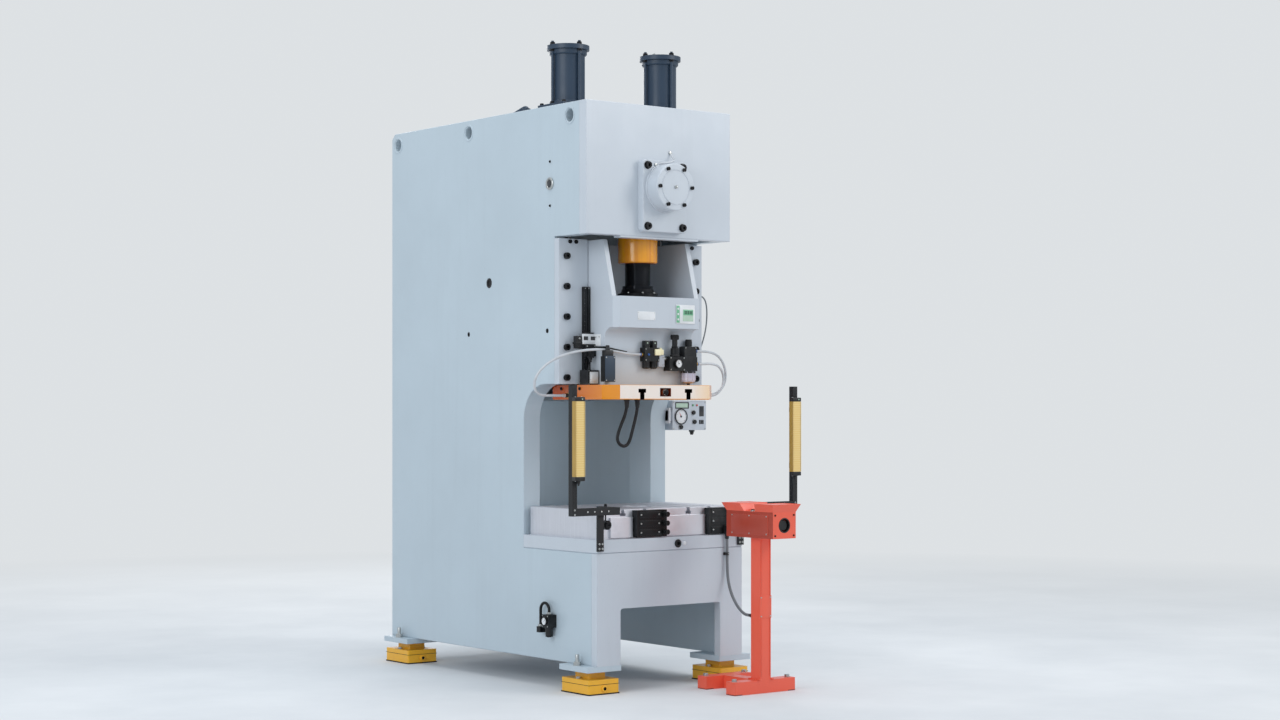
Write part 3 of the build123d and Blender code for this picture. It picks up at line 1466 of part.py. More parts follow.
right_hose_lower_points = [
    (300, -558, 1764),
    (352, -558, 1764),
    (404, -559, 1768),
    (461, -559, 1759),
    (497, -554, 1728),
    (513, -550, 1683),
    (507, -546, 1639),
    (482, -541, 1606),
    (448, -536, 1588),
    (410, -536, 1588),
]
with BuildPart() as right_hose_lower:
    cord_tube("right_hose_lower", right_hose_lower_points, hose_diameter)
right_hose_lower.part.label = "right_hose_lower"
export_step(right_hose_lower.part, "parts/right_hose_lower.step")

# Slack cable loop below the face plate
slide_cable_points = [
    (-204, -590, 1545),
    (-204, -590, 1523),
    (-218, -590, 1476),
    (-248, -591, 1420),
    (-274, -592, 1357),
    (-259, -593, 1323),
    (-223, -593, 1310),
    (-190, -592, 1327),
    (-160, -591, 1418),
    (-141, -590, 1476),
    (-132, -590, 1523),
    (-132, -590, 1545),
]
with BuildPart() as slide_cable:
    cord_tube("slide_cable", slide_cable_points, cable_diameter)
slide_cable.part.label = "slide_cable"
export_step(slide_cable.part, "parts/slide_cable.step")

# Pinion shaft with its pinion and the clutch disc behind the flywheel
with BuildPart() as pinion_shaft:
    pinion_y = head_y + gear_d + (gear_width - pinion_width) / 2
    shaft_front_y = head_y + middle_wall_d - roof_t / 2
    bar_y(0, (shaft_front_y, head_y + pinion_shaft_end_d), pinion_z, pinion_shaft_r)
    with BuildSketch(facing_front(pinion_y)):
        with Locations((0, pinion_z)):
            gear_outline(pinion_teeth, gear_module, 90 + 180 / pinion_teeth)
    extrude(amount=-pinion_width)
    clutch_y = head_y + flywheel_d + flywheel_width + clutch_gap
    bar_y(0, (clutch_y, clutch_y + clutch_t), pinion_z, clutch_r)
pinion_shaft.part.label = "pinion_shaft"
export_step(pinion_shaft.part, "parts/pinion_shaft.step")

# Flywheel with one groove for each belt
with BuildPart() as flywheel:
    wheel_front_y = head_y + flywheel_d
    wheel_rear_y = wheel_front_y + flywheel_width
    rim_z = pinion_z + flywheel_r - flywheel_rim
    hub_z = pinion_z + flywheel_hub_r
    bore_z = pinion_z + pinion_shaft_r + running
    web_front_y = groove_middle_y - flywheel_web_t / 2
    web_rear_y = groove_middle_y + flywheel_web_t / 2
    with BuildSketch(Plane.YZ):
        with BuildLine():
            Polyline(
                *grooved_rim(flywheel_r, groove_middle_y, flywheel_width, pinion_z),
                (wheel_rear_y, rim_z),
                (web_rear_y, rim_z),
                (web_rear_y, hub_z),
                (wheel_rear_y, hub_z),
                (wheel_rear_y, bore_z),
                (wheel_front_y, bore_z),
                (wheel_front_y, hub_z),
                (web_front_y, hub_z),
                (web_front_y, rim_z),
                (wheel_front_y, rim_z),
                close=True,
            )
        make_face()
    revolve(axis=Axis((0, 0, pinion_z), (0, 1, 0)))
flywheel.part.label = "flywheel"
export_step(flywheel.part, "parts/flywheel.step")

# Motor pulley on the motor's shaft
with BuildPart() as motor_pulley:
    with BuildSketch(Plane.YZ):
        with BuildLine():
            Polyline(
                *grooved_rim(pulley_r, groove_middle_y, flywheel_width, motor_z),
                (wheel_rear_y, motor_z),
                (wheel_front_y, motor_z),
                close=True,
            )
        make_face()
    revolve(axis=Axis((0, 0, motor_z), (0, 1, 0)))
    bar_y(0, (wheel_rear_y, motor_front_y + motor_seat_depth - air_gap), motor_z, motor_shaft_r)
motor_pulley.part.label = "motor_pulley"
export_step(motor_pulley.part, "parts/motor_pulley.step")

# Palm buttons in the ends of the stand's head
for end, end_y, hand in ((-1, stand_head_front_y, "front"), (1, stand_head_rear_y, "rear")):
    with BuildPart() as palm_button:
        floor_y = end_y - end * palm_pocket_depth
        cap_back_y = floor_y + end * (palm_travel + air_gap)
        bar_y(stand_x, (cap_back_y, cap_back_y + end * palm_button_t), pocket_z, palm_button_r)
        outer_edge = palm_button.edges().filter_by(GeomType.CIRCLE).sort_by(Axis.Y)[0 if end < 0 else -1]
        fillet(outer_edge, edge_break)
        bar_y(stand_x, (cap_back_y, floor_y - end * palm_button_t), pocket_z, palm_stem_r)
    palm_button.part.label = f"{hand}_palm_button"
    export_step(palm_button.part, f"parts/{hand}_palm_button.step")

# Stop button on the stand's head
with BuildPart() as stand_stop_button:
    cap_z = stand_head_top + stop_collar_t + stop_travel + air_gap
    bar_z(stand_x, stand_y, (cap_z, cap_z + stop_t), stop_r)
    fillet(stand_stop_button.edges().filter_by(GeomType.CIRCLE).sort_by(Axis.Z)[-1], 2 * edge_break)
    bar_z(stand_x, stand_y, (stand_head_top - stop_t + stop_travel + air_gap, cap_z), stop_stem_r)
stand_stop_button.part.label = "stand_stop_button"
export_step(stand_stop_button.part, "parts/stand_stop_button.step")

# Push buttons of the operator box
for label, button_inset, button_z in panel_buttons:
    with BuildPart() as panel_button:
        button_x = panel_left_x + button_inset
        button_y = (panel_y - panel_button_proud, panel_y + panel_button_seat)
        bar_y(button_x, button_y, button_z, panel_button_r)
        chamfer(panel_button.edges().filter_by(GeomType.CIRCLE).sort_by(Axis.Y)[0], edge_break / 2)
    panel_button.part.label = label
    export_step(panel_button.part, f"parts/{label}.step")
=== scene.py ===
import json
import math
from itertools import product

import bmesh
import bpy
from mathutils import Matrix, Vector


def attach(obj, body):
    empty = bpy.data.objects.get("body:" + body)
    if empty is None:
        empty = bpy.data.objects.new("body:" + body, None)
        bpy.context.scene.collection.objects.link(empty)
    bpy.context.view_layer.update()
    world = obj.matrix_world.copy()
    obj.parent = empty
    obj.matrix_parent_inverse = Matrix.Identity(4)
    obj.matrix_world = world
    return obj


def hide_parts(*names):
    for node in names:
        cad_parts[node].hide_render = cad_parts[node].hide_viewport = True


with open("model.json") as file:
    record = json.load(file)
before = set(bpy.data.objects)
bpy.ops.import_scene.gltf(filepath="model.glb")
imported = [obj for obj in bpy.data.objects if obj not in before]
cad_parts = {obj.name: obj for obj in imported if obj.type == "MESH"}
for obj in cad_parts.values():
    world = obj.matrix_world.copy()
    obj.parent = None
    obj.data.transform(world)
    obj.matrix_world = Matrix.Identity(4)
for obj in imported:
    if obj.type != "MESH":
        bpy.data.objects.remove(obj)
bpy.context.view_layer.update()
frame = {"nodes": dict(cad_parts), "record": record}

nodes = frame["nodes"]
scene = bpy.context.scene


def add(name, data):
    """A new object in the scene."""
    thing = bpy.data.objects.new(name, data)
    scene.collection.objects.link(thing)
    return thing


# Colours and shaders; lengths in shaders are metres

def srgb(r, g, b):
    def linear(c):
        c /= 255
        return c / 12.92 if c <= 0.04045 else ((c + 0.055) / 1.055) ** 2.4
    return (linear(r), linear(g), linear(b), 1)


def shade(color, factor):
    return tuple(min(1, c * factor) for c in color[:3]) + (1,)


paints = {}


class Tree:
    """Shader nodes of a material or world."""

    def __init__(self, owner):
        owner.use_nodes = True
        self.tree = owner.node_tree
        self.tree.nodes.clear()

    def put(self, socket, value):
        if isinstance(value, bpy.types.NodeSocket):
            self.tree.links.new(value, socket)
        else:
            socket.default_value = value

    def node(self, kind, props=None, **inputs):
        n = self.tree.nodes.new(kind)
        for key, value in (props or {}).items():
            setattr(n, key, value)
        for key, value in inputs.items():
            self.put(n.inputs[key.replace("_", " ")], value)
        return n

    def mix(self, factor, a, b):
        n = self.node("ShaderNodeMix", {"data_type": "RGBA"})
        for k, value in ((0, factor), (6, a), (7, b)):
            self.put(n.inputs[k], value)
        return n.outputs[2]


class Shader(Tree):
    """A material that grows node by node; paints knows it by its name."""

    def __init__(self, name, **principled):
        self.mat = paints[name] = bpy.data.materials.new(name)
        super().__init__(self.mat)
        self.bsdf = self.node("ShaderNodeBsdfPrincipled", **principled)
        self.node("ShaderNodeOutputMaterial", Surface=self.bsdf.outputs[0])
        self.coords = self.node("ShaderNodeTexCoord").outputs["Object"]

    def stretched(self, scale):
        return self.node("ShaderNodeMapping", Vector=self.coords, Scale=scale).outputs[0]

    def noise(self, scale, detail=3.0, rough=0.55, vector=None):
        vector = vector or self.coords
        n = self.node("ShaderNodeTexNoise", Scale=scale, Detail=detail, Roughness=rough, Vector=vector)
        return n.outputs["Fac"]

    def math(self, operation, a, b=0.0, clamp=False):
        n = self.node("ShaderNodeMath", {"operation": operation, "use_clamp": clamp})
        self.put(n.inputs[0], a)
        self.put(n.inputs[1], b)
        return n.outputs[0]

    def times(self, value, *factors):
        for factor in factors:
            value = self.math("MULTIPLY", value, factor)
        return value

    def above(self, value, limit):
        return self.math("GREATER_THAN", value, limit)

    def below(self, value, limit):
        return self.math("LESS_THAN", value, limit)

    def between(self, value, low, high):
        return self.times(self.above(value, low), self.below(value, high))

    def away(self, value, centre=0.0):
        return self.math("ABSOLUTE", self.math("SUBTRACT", value, centre))

    def span(self, value, low, high, to_low=0.0, to_high=1.0):
        n = self.node("ShaderNodeMapRange", {"clamp": True})
        for socket, v in zip(n.inputs, (value, low, high, to_low, to_high)):
            self.put(socket, v)
        return n.outputs[0]

    def clouds(self, scale, detail, rough, low=0.3, high=0.7, *to):
        return self.span(self.noise(scale, detail, rough), low, high, *to)

    def tones(self, color, dark, light, *noise):
        """Slow changes between a darker and a lighter tone of a colour."""
        return self.mix(self.clouds(*noise), shade(color, dark), shade(color, light))

    def rounded(self, radius):
        return self.node("ShaderNodeBevel", {"samples": 4}, Radius=radius).outputs[0]

    def bump(self, height, strength, distance, radius=0.0):
        n = self.node("ShaderNodeBump", Strength=strength, Distance=distance, Height=height)
        if radius:
            self.put(n.inputs["Normal"], self.rounded(radius))
        return n.outputs[0]

    def edges(self, radius):
        """1 on sharp edges, 0 on flat faces."""
        n = self.node("ShaderNodeVectorMath", {"operation": "DOT_PRODUCT"})
        self.put(n.inputs[0], self.rounded(radius))
        self.put(n.inputs[1], self.node("ShaderNodeNewGeometry").outputs["True Normal"])
        return self.span(n.outputs["Value"], 0.995, 0.86)

    def xyz(self, source=None):
        return self.node("ShaderNodeSeparateXYZ", Vector=source or self.coords).outputs

    def facing(self):
        return self.xyz(self.node("ShaderNodeNewGeometry").outputs["True Normal"])

    def finish(self, tone, roughness, normal=None, **sockets):
        sockets.update(Base_Color=tone, Roughness=roughness)
        if normal:
            sockets["Normal"] = normal
        for key, value in sockets.items():
            self.put(self.bsdf.inputs[key.replace("_", " ")], value)
        return self.mat


def paint(name, color, rough, wear, dirt, bare=srgb(118, 122, 126), coat=0.25, sides=None):
    """Sprayed enamel: slow tone changes, dust, faint streaks, orange peel, rubbed edges.

    sides is (low, high, colour) for faces towards X between two heights, painted in that darker colour as
    shade.
    """
    edge = 0.0025
    s = Shader(name, Coat_Weight=coat, Coat_Roughness=0.22)
    tone = s.tones(color, 0.95, 1.04, 1.1, 4, 0.6)
    if sides:
        # painted shade: faces towards X between the two heights take the darker colour
        shaded_band = s.times(s.between(s.xyz()[2], *sides[:2]), s.span(s.away(s.facing()[0]), 0.92, 0.97))
        tone = s.mix(shaded_band, tone, s.mix(s.noise(12, 4), shade(sides[2], 0.9), shade(sides[2], 1.08)))
    streaks = s.noise(1.0, 5, 0.65, s.stretched((9, 9, 0.55)))
    tone = s.mix(s.times(s.span(streaks, 0.52, 0.78), dirt * 0.35), tone, shade(color, 0.62))
    tone = s.mix(s.times(s.clouds(95, 2, 0.5, 0.68, 0.76), dirt * 0.5), tone, shade(color, 0.5))
    rim = s.edges(edge)
    rub = s.math("MULTIPLY", s.times(rim, s.clouds(14, 5, 0.7, 0.5, 0.66)), wear, True)
    tone = s.mix(s.times(rim, 0.22), tone, shade(color, 1.16))
    tone = s.mix(rub, tone, bare)
    roughness = s.clouds(7, 4, 0.6, 0.3, 0.75, rough - 0.05, rough + 0.12)
    s.finish(tone, roughness, s.bump(s.noise(420, 2, 0.5), 0.12, 0.0004, edge), Metallic=s.times(rub, 0.8))


def ground_steel(name, color, rough, lines, stain=0.35, depth=1.0):
    """Machined or ground steel: fine tool lines, oil stains, brighter edges."""
    edge = 0.0015
    s = Shader(name, Metallic=1.0)
    grain = s.noise(1.0, 3, 0.6, s.stretched(lines))
    tone = s.mix(s.span(grain, 0.3, 0.7), shade(color, 1 - 0.14 * depth), shade(color, 1 + 0.1 * depth))
    tone = s.mix(s.times(s.clouds(5, 6, 0.7, 0.5, 0.78), stain), tone, shade(color, 0.55))
    tone = s.mix(s.times(s.edges(edge), 0.5), tone, shade(color, 1.3))
    roughness = s.clouds(9, 4, 0.65, 0.3, 0.72, rough - 0.06, rough + 0.14)
    s.finish(tone, roughness, s.bump(grain, 0.18 * depth, 0.0004, edge))


def dark_metal(name, color, rough, metallic=0.75, edge=0.0012, rub=0.4, bowl=None):
    """Black oxide or anodised metal with pale rubbed edges and a light dust; a bowl is (x, x, top, colour)."""
    s = Shader(name, Metallic=metallic)
    tone = s.tones(color, 0.8, 1.35, 22, 4, 0.6, 0.32)
    if bowl:
        x, y, z = s.xyz()
        inside = s.times(s.between(x, *bowl[:2]), s.below(z, bowl[2]))
        tone = s.mix(inside, tone, s.mix(s.noise(30, 3), shade(bowl[3], 0.9), bowl[3]))
    tone = s.mix(s.times(s.clouds(6, 5, 0.65, 0.5, 0.8), 0.18), tone, srgb(128, 128, 126))
    tone = s.mix(s.times(s.edges(edge), rub), tone, srgb(120, 122, 126))
    roughness = s.clouds(30, 3, 0.6, 0.3, 0.7, rough - 0.06, rough + 0.12)
    s.finish(tone, roughness, s.bump(s.noise(600, 2, 0.5), 0.08, 0.0003, edge))


def plastic(name, color, rough=0.42, grain=0.2, coat=0.0, edge=0.001):
    """Moulded plastic: fine leathery grain, dust in the hollows, a slight tone change."""
    s = Shader(name, Coat_Weight=coat, Coat_Roughness=0.1, Specular_IOR_Level=0.45)
    tone = s.tones(color, 0.9, 1.1, 11, 3, 0.6)
    tone = s.mix(s.times(s.clouds(28, 5, 0.7, 0.55, 0.8), 0.12), tone, srgb(150, 148, 142))
    leather = s.node("ShaderNodeTexVoronoi", Scale=900, Vector=s.coords).outputs["Distance"]
    roughness = s.clouds(40, 3, 0.6, 0.3, 0.7, rough - 0.05, rough + 0.08)
    s.finish(tone, roughness, s.bump(leather, grain, 0.0003, edge))


def rubber(name, color, rough=0.5, ring_pitch=0.0):
    """Hose, cable or belt rubber with dull dust and, where asked, moulded rings."""
    s = Shader(name, Specular_IOR_Level=0.35)
    tone = s.tones(color, 0.85, 1.12, 16, 4, 0.6)
    tone = s.mix(s.times(s.clouds(7, 5, 0.7, 0.5, 0.8), 0.2), tone, shade(color, 1.5))
    height = s.noise(500, 2, 0.5)
    if ring_pitch:
        wave = s.math("SINE", s.times(s.xyz()[2], 2 * math.pi / ring_pitch))
        height = s.math("ADD", s.times(wave, 2.0), height)
    s.finish(tone, s.clouds(25, 3, 0.6, 0.3, 0.7, rough - 0.06, rough + 0.1), s.bump(height, 0.15, 0.0006))


def cast(name, color):
    """Cast iron: sandy skin with turned faces shining through."""
    edge = 0.002
    s = Shader(name, Metallic=0.7)
    tone = s.tones(color, 0.75, 1.25, 35, 5, 0.65)
    tone = s.mix(s.times(s.edges(edge), 0.5), tone, shade(color, 2.2))
    s.finish(tone, s.clouds(12, 4, 0.6, 0.3, 0.7, 0.45, 0.67), s.bump(s.noise(260, 4, 0.6), 0.35, 0.0008, edge))


def glow(name, color, strength):
    """A lit window under a clear pane."""
    s = Shader(name, Emission_Color=color, Emission_Strength=strength, Coat_Weight=0.6)
    tone = s.mix(s.noise(40, 3), shade(color, 0.8), shade(color, 1.1))
    s.finish(tone, s.clouds(30, 3, 0.55, 0.3, 0.7, 0.2, 0.3))


def orange_paint():
    """Gloss orange with painted light: darker vertical streaks on the rod as painted reflections; painted shade
    on the face plate's sides, darker towards the rear, on faces turned downwards, in the slots and in the clamp
    pocket; a pale painted highlight on the face plate's front.
    """
    color, edge = srgb(246, 164, 22), 0.0018
    plate_top, plate_front = 1.66, -0.6694
    slot_x, stem_half, stem_top = 0.16, 0.0148, 1.604
    head_half, head_z, head_rise = 0.0258, 1.613, 0.0105
    pocket_half, pocket_z, pocket_rise = 0.05, 1.605, 0.03
    s = Shader("orange_paint", Coat_Weight=0.6, Coat_Roughness=0.1)
    x, y, z = s.xyz()
    across, ahead, upward = s.facing()
    # painted reflections: darker vertical streaks on the glossy rod above the face plate
    streak = s.span(s.noise(1.0, 3, 0.6, s.stretched((38, 38, 0.5))), 0.42, 0.6)
    rod = s.times(streak, s.above(z, plate_top), 0.5)
    tone = s.mix(rod, s.tones(color, 0.94, 1.04, 5, 4, 0.6), srgb(206, 112, 8))
    plate = s.below(z, plate_top)
    # painted shade: the face plate's side faces darker than its front, and darker still towards the rear
    side_shade = s.mix(s.span(y, -0.62, -0.22), srgb(226, 132, 18), srgb(190, 76, 16))
    tone = s.mix(s.times(plate, s.span(s.away(across), 0.3, 0.9)), tone, side_shade)
    # painted shade: faces turned downwards are darker
    tone = s.mix(s.span(upward, -0.6, -0.9), tone, srgb(190, 82, 20))
    # painted highlight: the face plate's front painted pale, warmer towards the right
    front = s.times(s.below(ahead, -0.97), s.below(y, plate_front))
    flush = s.times(s.span(z, 1.5695, 1.5705), s.span(z, 1.6435, 1.6425))
    front_glare = s.mix(s.span(x, 0.18, 0.3), srgb(243, 231, 221), srgb(246, 216, 180))
    tone = s.mix(s.times(front, flush, plate, s.span(s.noise(20, 4), 0.2, 0.5, 0.9, 1.0)), tone, front_glare)
    # painted shade: the T-slots near black inside
    off_slot = s.away(s.away(x), slot_x)
    stem = s.times(s.below(off_slot, stem_half), s.below(z, stem_top))
    head = s.times(s.below(off_slot, head_half), s.below(s.away(z, head_z), head_rise))
    slot = s.times(s.math("MAXIMUM", stem, head), s.above(upward, -0.5))
    # painted shade: the clamp pocket's inside is darker
    mouth = s.times(s.below(s.away(x), pocket_half), s.below(s.away(z, pocket_z), pocket_rise))
    pocket = s.times(mouth, s.between(y, plate_front, -0.6))
    tone = s.mix(pocket, tone, srgb(132, 48, 12))
    tone = s.mix(s.times(s.edges(edge), 0.5), tone, srgb(222, 106, 46))
    tone = s.mix(slot, tone, srgb(12, 11, 11))
    s.finish(tone, s.clouds(9, 4, 0.6, 0.3, 0.7, 0.18, 0.3), s.bump(s.noise(300, 2, 0.5), 0.08, 0.0004, edge))


def curtain_yellow():
    """Gold sensor housing with a ribbed cream window in front and black ends."""
    color, edge, rib_pitch = srgb(176, 140, 62), 0.002, 0.012
    s = Shader("curtain_yellow", Coat_Weight=0.3, Coat_Roughness=0.2)
    z = s.xyz()[2]
    ribs = s.span(s.math("SINE", s.times(z, 2 * math.pi / rib_pitch)), -1.0, 1.0)
    window = s.mix(ribs, srgb(232, 196, 118), srgb(238, 208, 138))
    tone = s.mix(s.span(s.facing()[1], -0.7, -0.95), s.tones(color, 0.93, 1.05, 9, 4, 0.6), window)
    tone = s.mix(s.times(s.edges(edge), 0.3), tone, shade(color, 1.3))
    ends = s.math("ADD", s.span(z, 1.1655, 1.1645), s.span(z, 1.5545, 1.5555), True)
    tone = s.mix(ends, tone, srgb(26, 26, 28))
    normal = s.bump(s.math("ADD", ribs, s.noise(500, 2, 0.5)), 0.08, 0.0004, edge)
    s.finish(tone, s.clouds(20, 3, 0.55, 0.3, 0.7, 0.3, 0.42), normal)


# frame_paint and front_paint are one paint; front_paint is a little lighter as painted light for the parts at
# the press's front
paint("frame_paint", srgb(186, 200, 209), 0.36, 0.35, 0.3)
paint("front_paint", srgb(196, 203, 211), 0.34, 0.35, 0.28)
paint("slate_paint", srgb(34, 54, 74), 0.46, 0.3, 0.25, bare=srgb(85, 96, 108), coat=0.12)
paint("pad_yellow", srgb(240, 178, 38), 0.4, 0.5, 0.6)
paint("black_paint", srgb(12, 14, 18), 0.5, 0.4, 0.12, bare=srgb(96, 98, 102), coat=0.06)
# painted shade: the stand head's long sides in a darker red
paint("stand_red", srgb(240, 96, 70), 0.34, 0.45, 0.3, sides=(0.828, 0.972, srgb(172, 62, 42)))
paint("motor_paint", srgb(52, 86, 124), 0.4, 0.45, 0.45)
ground_steel("bolster_steel", srgb(224, 225, 231), 0.46, (5, 260, 5), depth=0.4)
ground_steel("shaft_steel", srgb(168, 170, 172), 0.22, (4, 700, 4), 0.2)
ground_steel("brass", srgb(196, 158, 84), 0.28, (120, 120, 120), 0.3)
ground_steel("zinc", srgb(190, 192, 190), 0.3, (90, 90, 90), 0.25)
cast("cast_iron", srgb(84, 86, 88))
dark_metal("black_oxide", srgb(26, 26, 28), 0.34)
dark_metal("black_alloy", srgb(22, 23, 25), 0.4, 0.5)
dark_metal("oiled_steel", srgb(34, 35, 38), 0.13, 0.95, 0.0015, 0.55)
dark_metal("valve_black", srgb(22, 23, 25), 0.38, 0.4, bowl=(0.205, 0.295, 1.7245, srgb(198, 196, 214)))
rubber("belt_rubber", srgb(24, 24, 25), 0.6)
rubber("hose_grey", srgb(196, 199, 203), 0.3)
rubber("cable_black", srgb(20, 20, 22), 0.42)
rubber("conduit_grey", srgb(112, 116, 120), 0.5, 0.004)
rubber("black_rubber", srgb(26, 26, 27), 0.65)
plastic("black_plastic", srgb(24, 24, 26))
plastic("white_plastic", srgb(226, 228, 230), 0.38)
plastic("blue_plastic", srgb(40, 92, 170), 0.32)
plastic("cream_plastic", srgb(246, 236, 196), 0.36)
plastic("grey_plastic", srgb(172, 178, 188), 0.4)
plastic("panel_green", srgb(112, 182, 142), 0.34)
plastic("yellow_plastic", srgb(244, 196, 24), 0.34)
plastic("green_plastic", srgb(38, 150, 78), 0.3, 0.05, 0.4)
plastic("stop_red", srgb(205, 30, 24), 0.25, 0.05, 0.6, 0.002)
plastic("dark_glass", srgb(12, 16, 22), 0.08, 0.0, 1.0)
plastic("pale_bowl", srgb(198, 196, 214), 0.14, 0.02, 0.8)
glow("display", srgb(172, 196, 178), 0.15)
orange_paint()
curtain_yellow()

own = {"adjusting_screw": "oiled_steel", "slide_valves": "valve_black"}
for entry in frame["record"]["subparts"]:
    node = nodes[entry["node"]]
    node.data.materials.clear()
    node.data.materials.append(paints[own.get(entry["node"], entry["material_slot"])])


# Cords and small pieces are in millimetres; each cord is one smooth curve through its route's points

def nurbs(name, points, resolution):
    """A smooth curve that begins and ends on its outer points."""
    curve = bpy.data.curves.new(name, "CURVE")
    curve.dimensions = "3D"
    spline = curve.splines.new("NURBS")
    spline.points.add(len(points) - 1)
    for spot, point in zip(spline.points, points):
        spot.co = (*point, 1)
    spline.order_u = 3
    spline.use_endpoint_u = True
    curve.resolution_u = resolution
    return curve


def cord(node, body, diameter, length, points):
    diameter, length = diameter / 1000, length / 1000
    points = [tuple(c / 1000 for c in point) for point in points]
    curve = nurbs(node + "_line", points, 10)
    curve.bevel_depth = diameter / 2
    curve.bevel_resolution = 5
    curve.use_fill_caps = True
    piece = add(node + "_line", curve)
    slot = next(e["material_slot"] for e in frame["record"]["subparts"] if e["node"] == node)
    curve.materials.append(paints[slot])
    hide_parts(node)
    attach(piece, body)


cord("stand_conduit", "frame", 16, 676, [
    (380, -736, 830), (380, -736, 660), (378, -747, 566), (368, -787, 498),
    (350, -848, 448), (325, -916, 418), (296, -982, 406), (270, -1036, 405),
    (270, -1080.5, 405),
])
cord("side_wire", "frame", 8, 418, [
    (518, -290, 2165), (552, -290, 2165), (582, -294, 2146), (592, -300, 2104),
    (588, -308, 2040), (572, -316, 1968), (548, -322, 1906), (526, -325, 1860),
    (511, -326, 1834), (511, -326, 1810),
])
cord("left_hose", "slide", 14, 962, [
    (-60, -544, 1812), (-138, -544, 1812), (-228, -543, 1824), (-322, -524, 1838),
    (-416, -479, 1832), (-506, -427, 1808), (-578, -386, 1766), (-620, -354, 1716),
    (-636, -335, 1668), (-626, -320, 1624), (-595, -308, 1596), (-552, -302, 1586),
    (-482, -301, 1588), (-410, -301, 1588),
])
cord("right_hose", "slide", 14, 569, [
    (300, -544, 1836), (366, -544, 1836), (436, -536, 1831), (502, -520, 1810),
    (552, -506, 1762), (576, -493, 1702), (568, -483, 1644), (530, -476, 1606),
    (476, -472, 1592), (410, -472, 1592),
])
cord("right_hose_lower", "slide", 14, 411, [
    (300, -558, 1764), (352, -558, 1764), (404, -559, 1768), (461, -559, 1759),
    (497, -554, 1728), (513, -550, 1683), (507, -546, 1639), (482, -541, 1606),
    (448, -536, 1588), (410, -536, 1588),
])
cord("slide_cable", "slide", 18, 531, [
    (-204, -590, 1545), (-204, -590, 1523), (-218, -590, 1476), (-248, -591, 1420),
    (-274, -592, 1357), (-259, -593, 1323), (-223, -593, 1310), (-190, -592, 1327),
    (-160, -591, 1418), (-141, -590, 1476), (-132, -590, 1523), (-132, -590, 1545),
])

# Small pieces: shapes gathered into one mesh, each shape with its own material

RIGHT, LEFT, BACK, FRONT, UP, DOWN = (1, 0, 0), (-1, 0, 0), (0, 1, 0), (0, -1, 0), (0, 0, 1), (0, 0, -1)


def metres(*lengths):
    return Vector([c / 1000 for c in lengths])


def turned_basis(axis):
    w = Vector(axis).normalized()
    side = Vector(UP) if abs(w.z) < 0.9 else Vector(RIGHT)
    u = side.cross(w).normalized()
    return Matrix((u, w.cross(u), w)).transposed()


def spots(at):
    """Every meeting of at's coordinates, each a number or a tuple of numbers."""
    return product(*(c if isinstance(c, tuple) else (c,) for c in at))


def circle(count, radius, x, y, start=0.0):
    """Spots on a circle round x, y, counted from an angle."""
    turns = (start + 2 * math.pi * k / count for k in range(count))
    return [(x + radius * math.cos(a), y + radius * math.sin(a)) for a in turns]


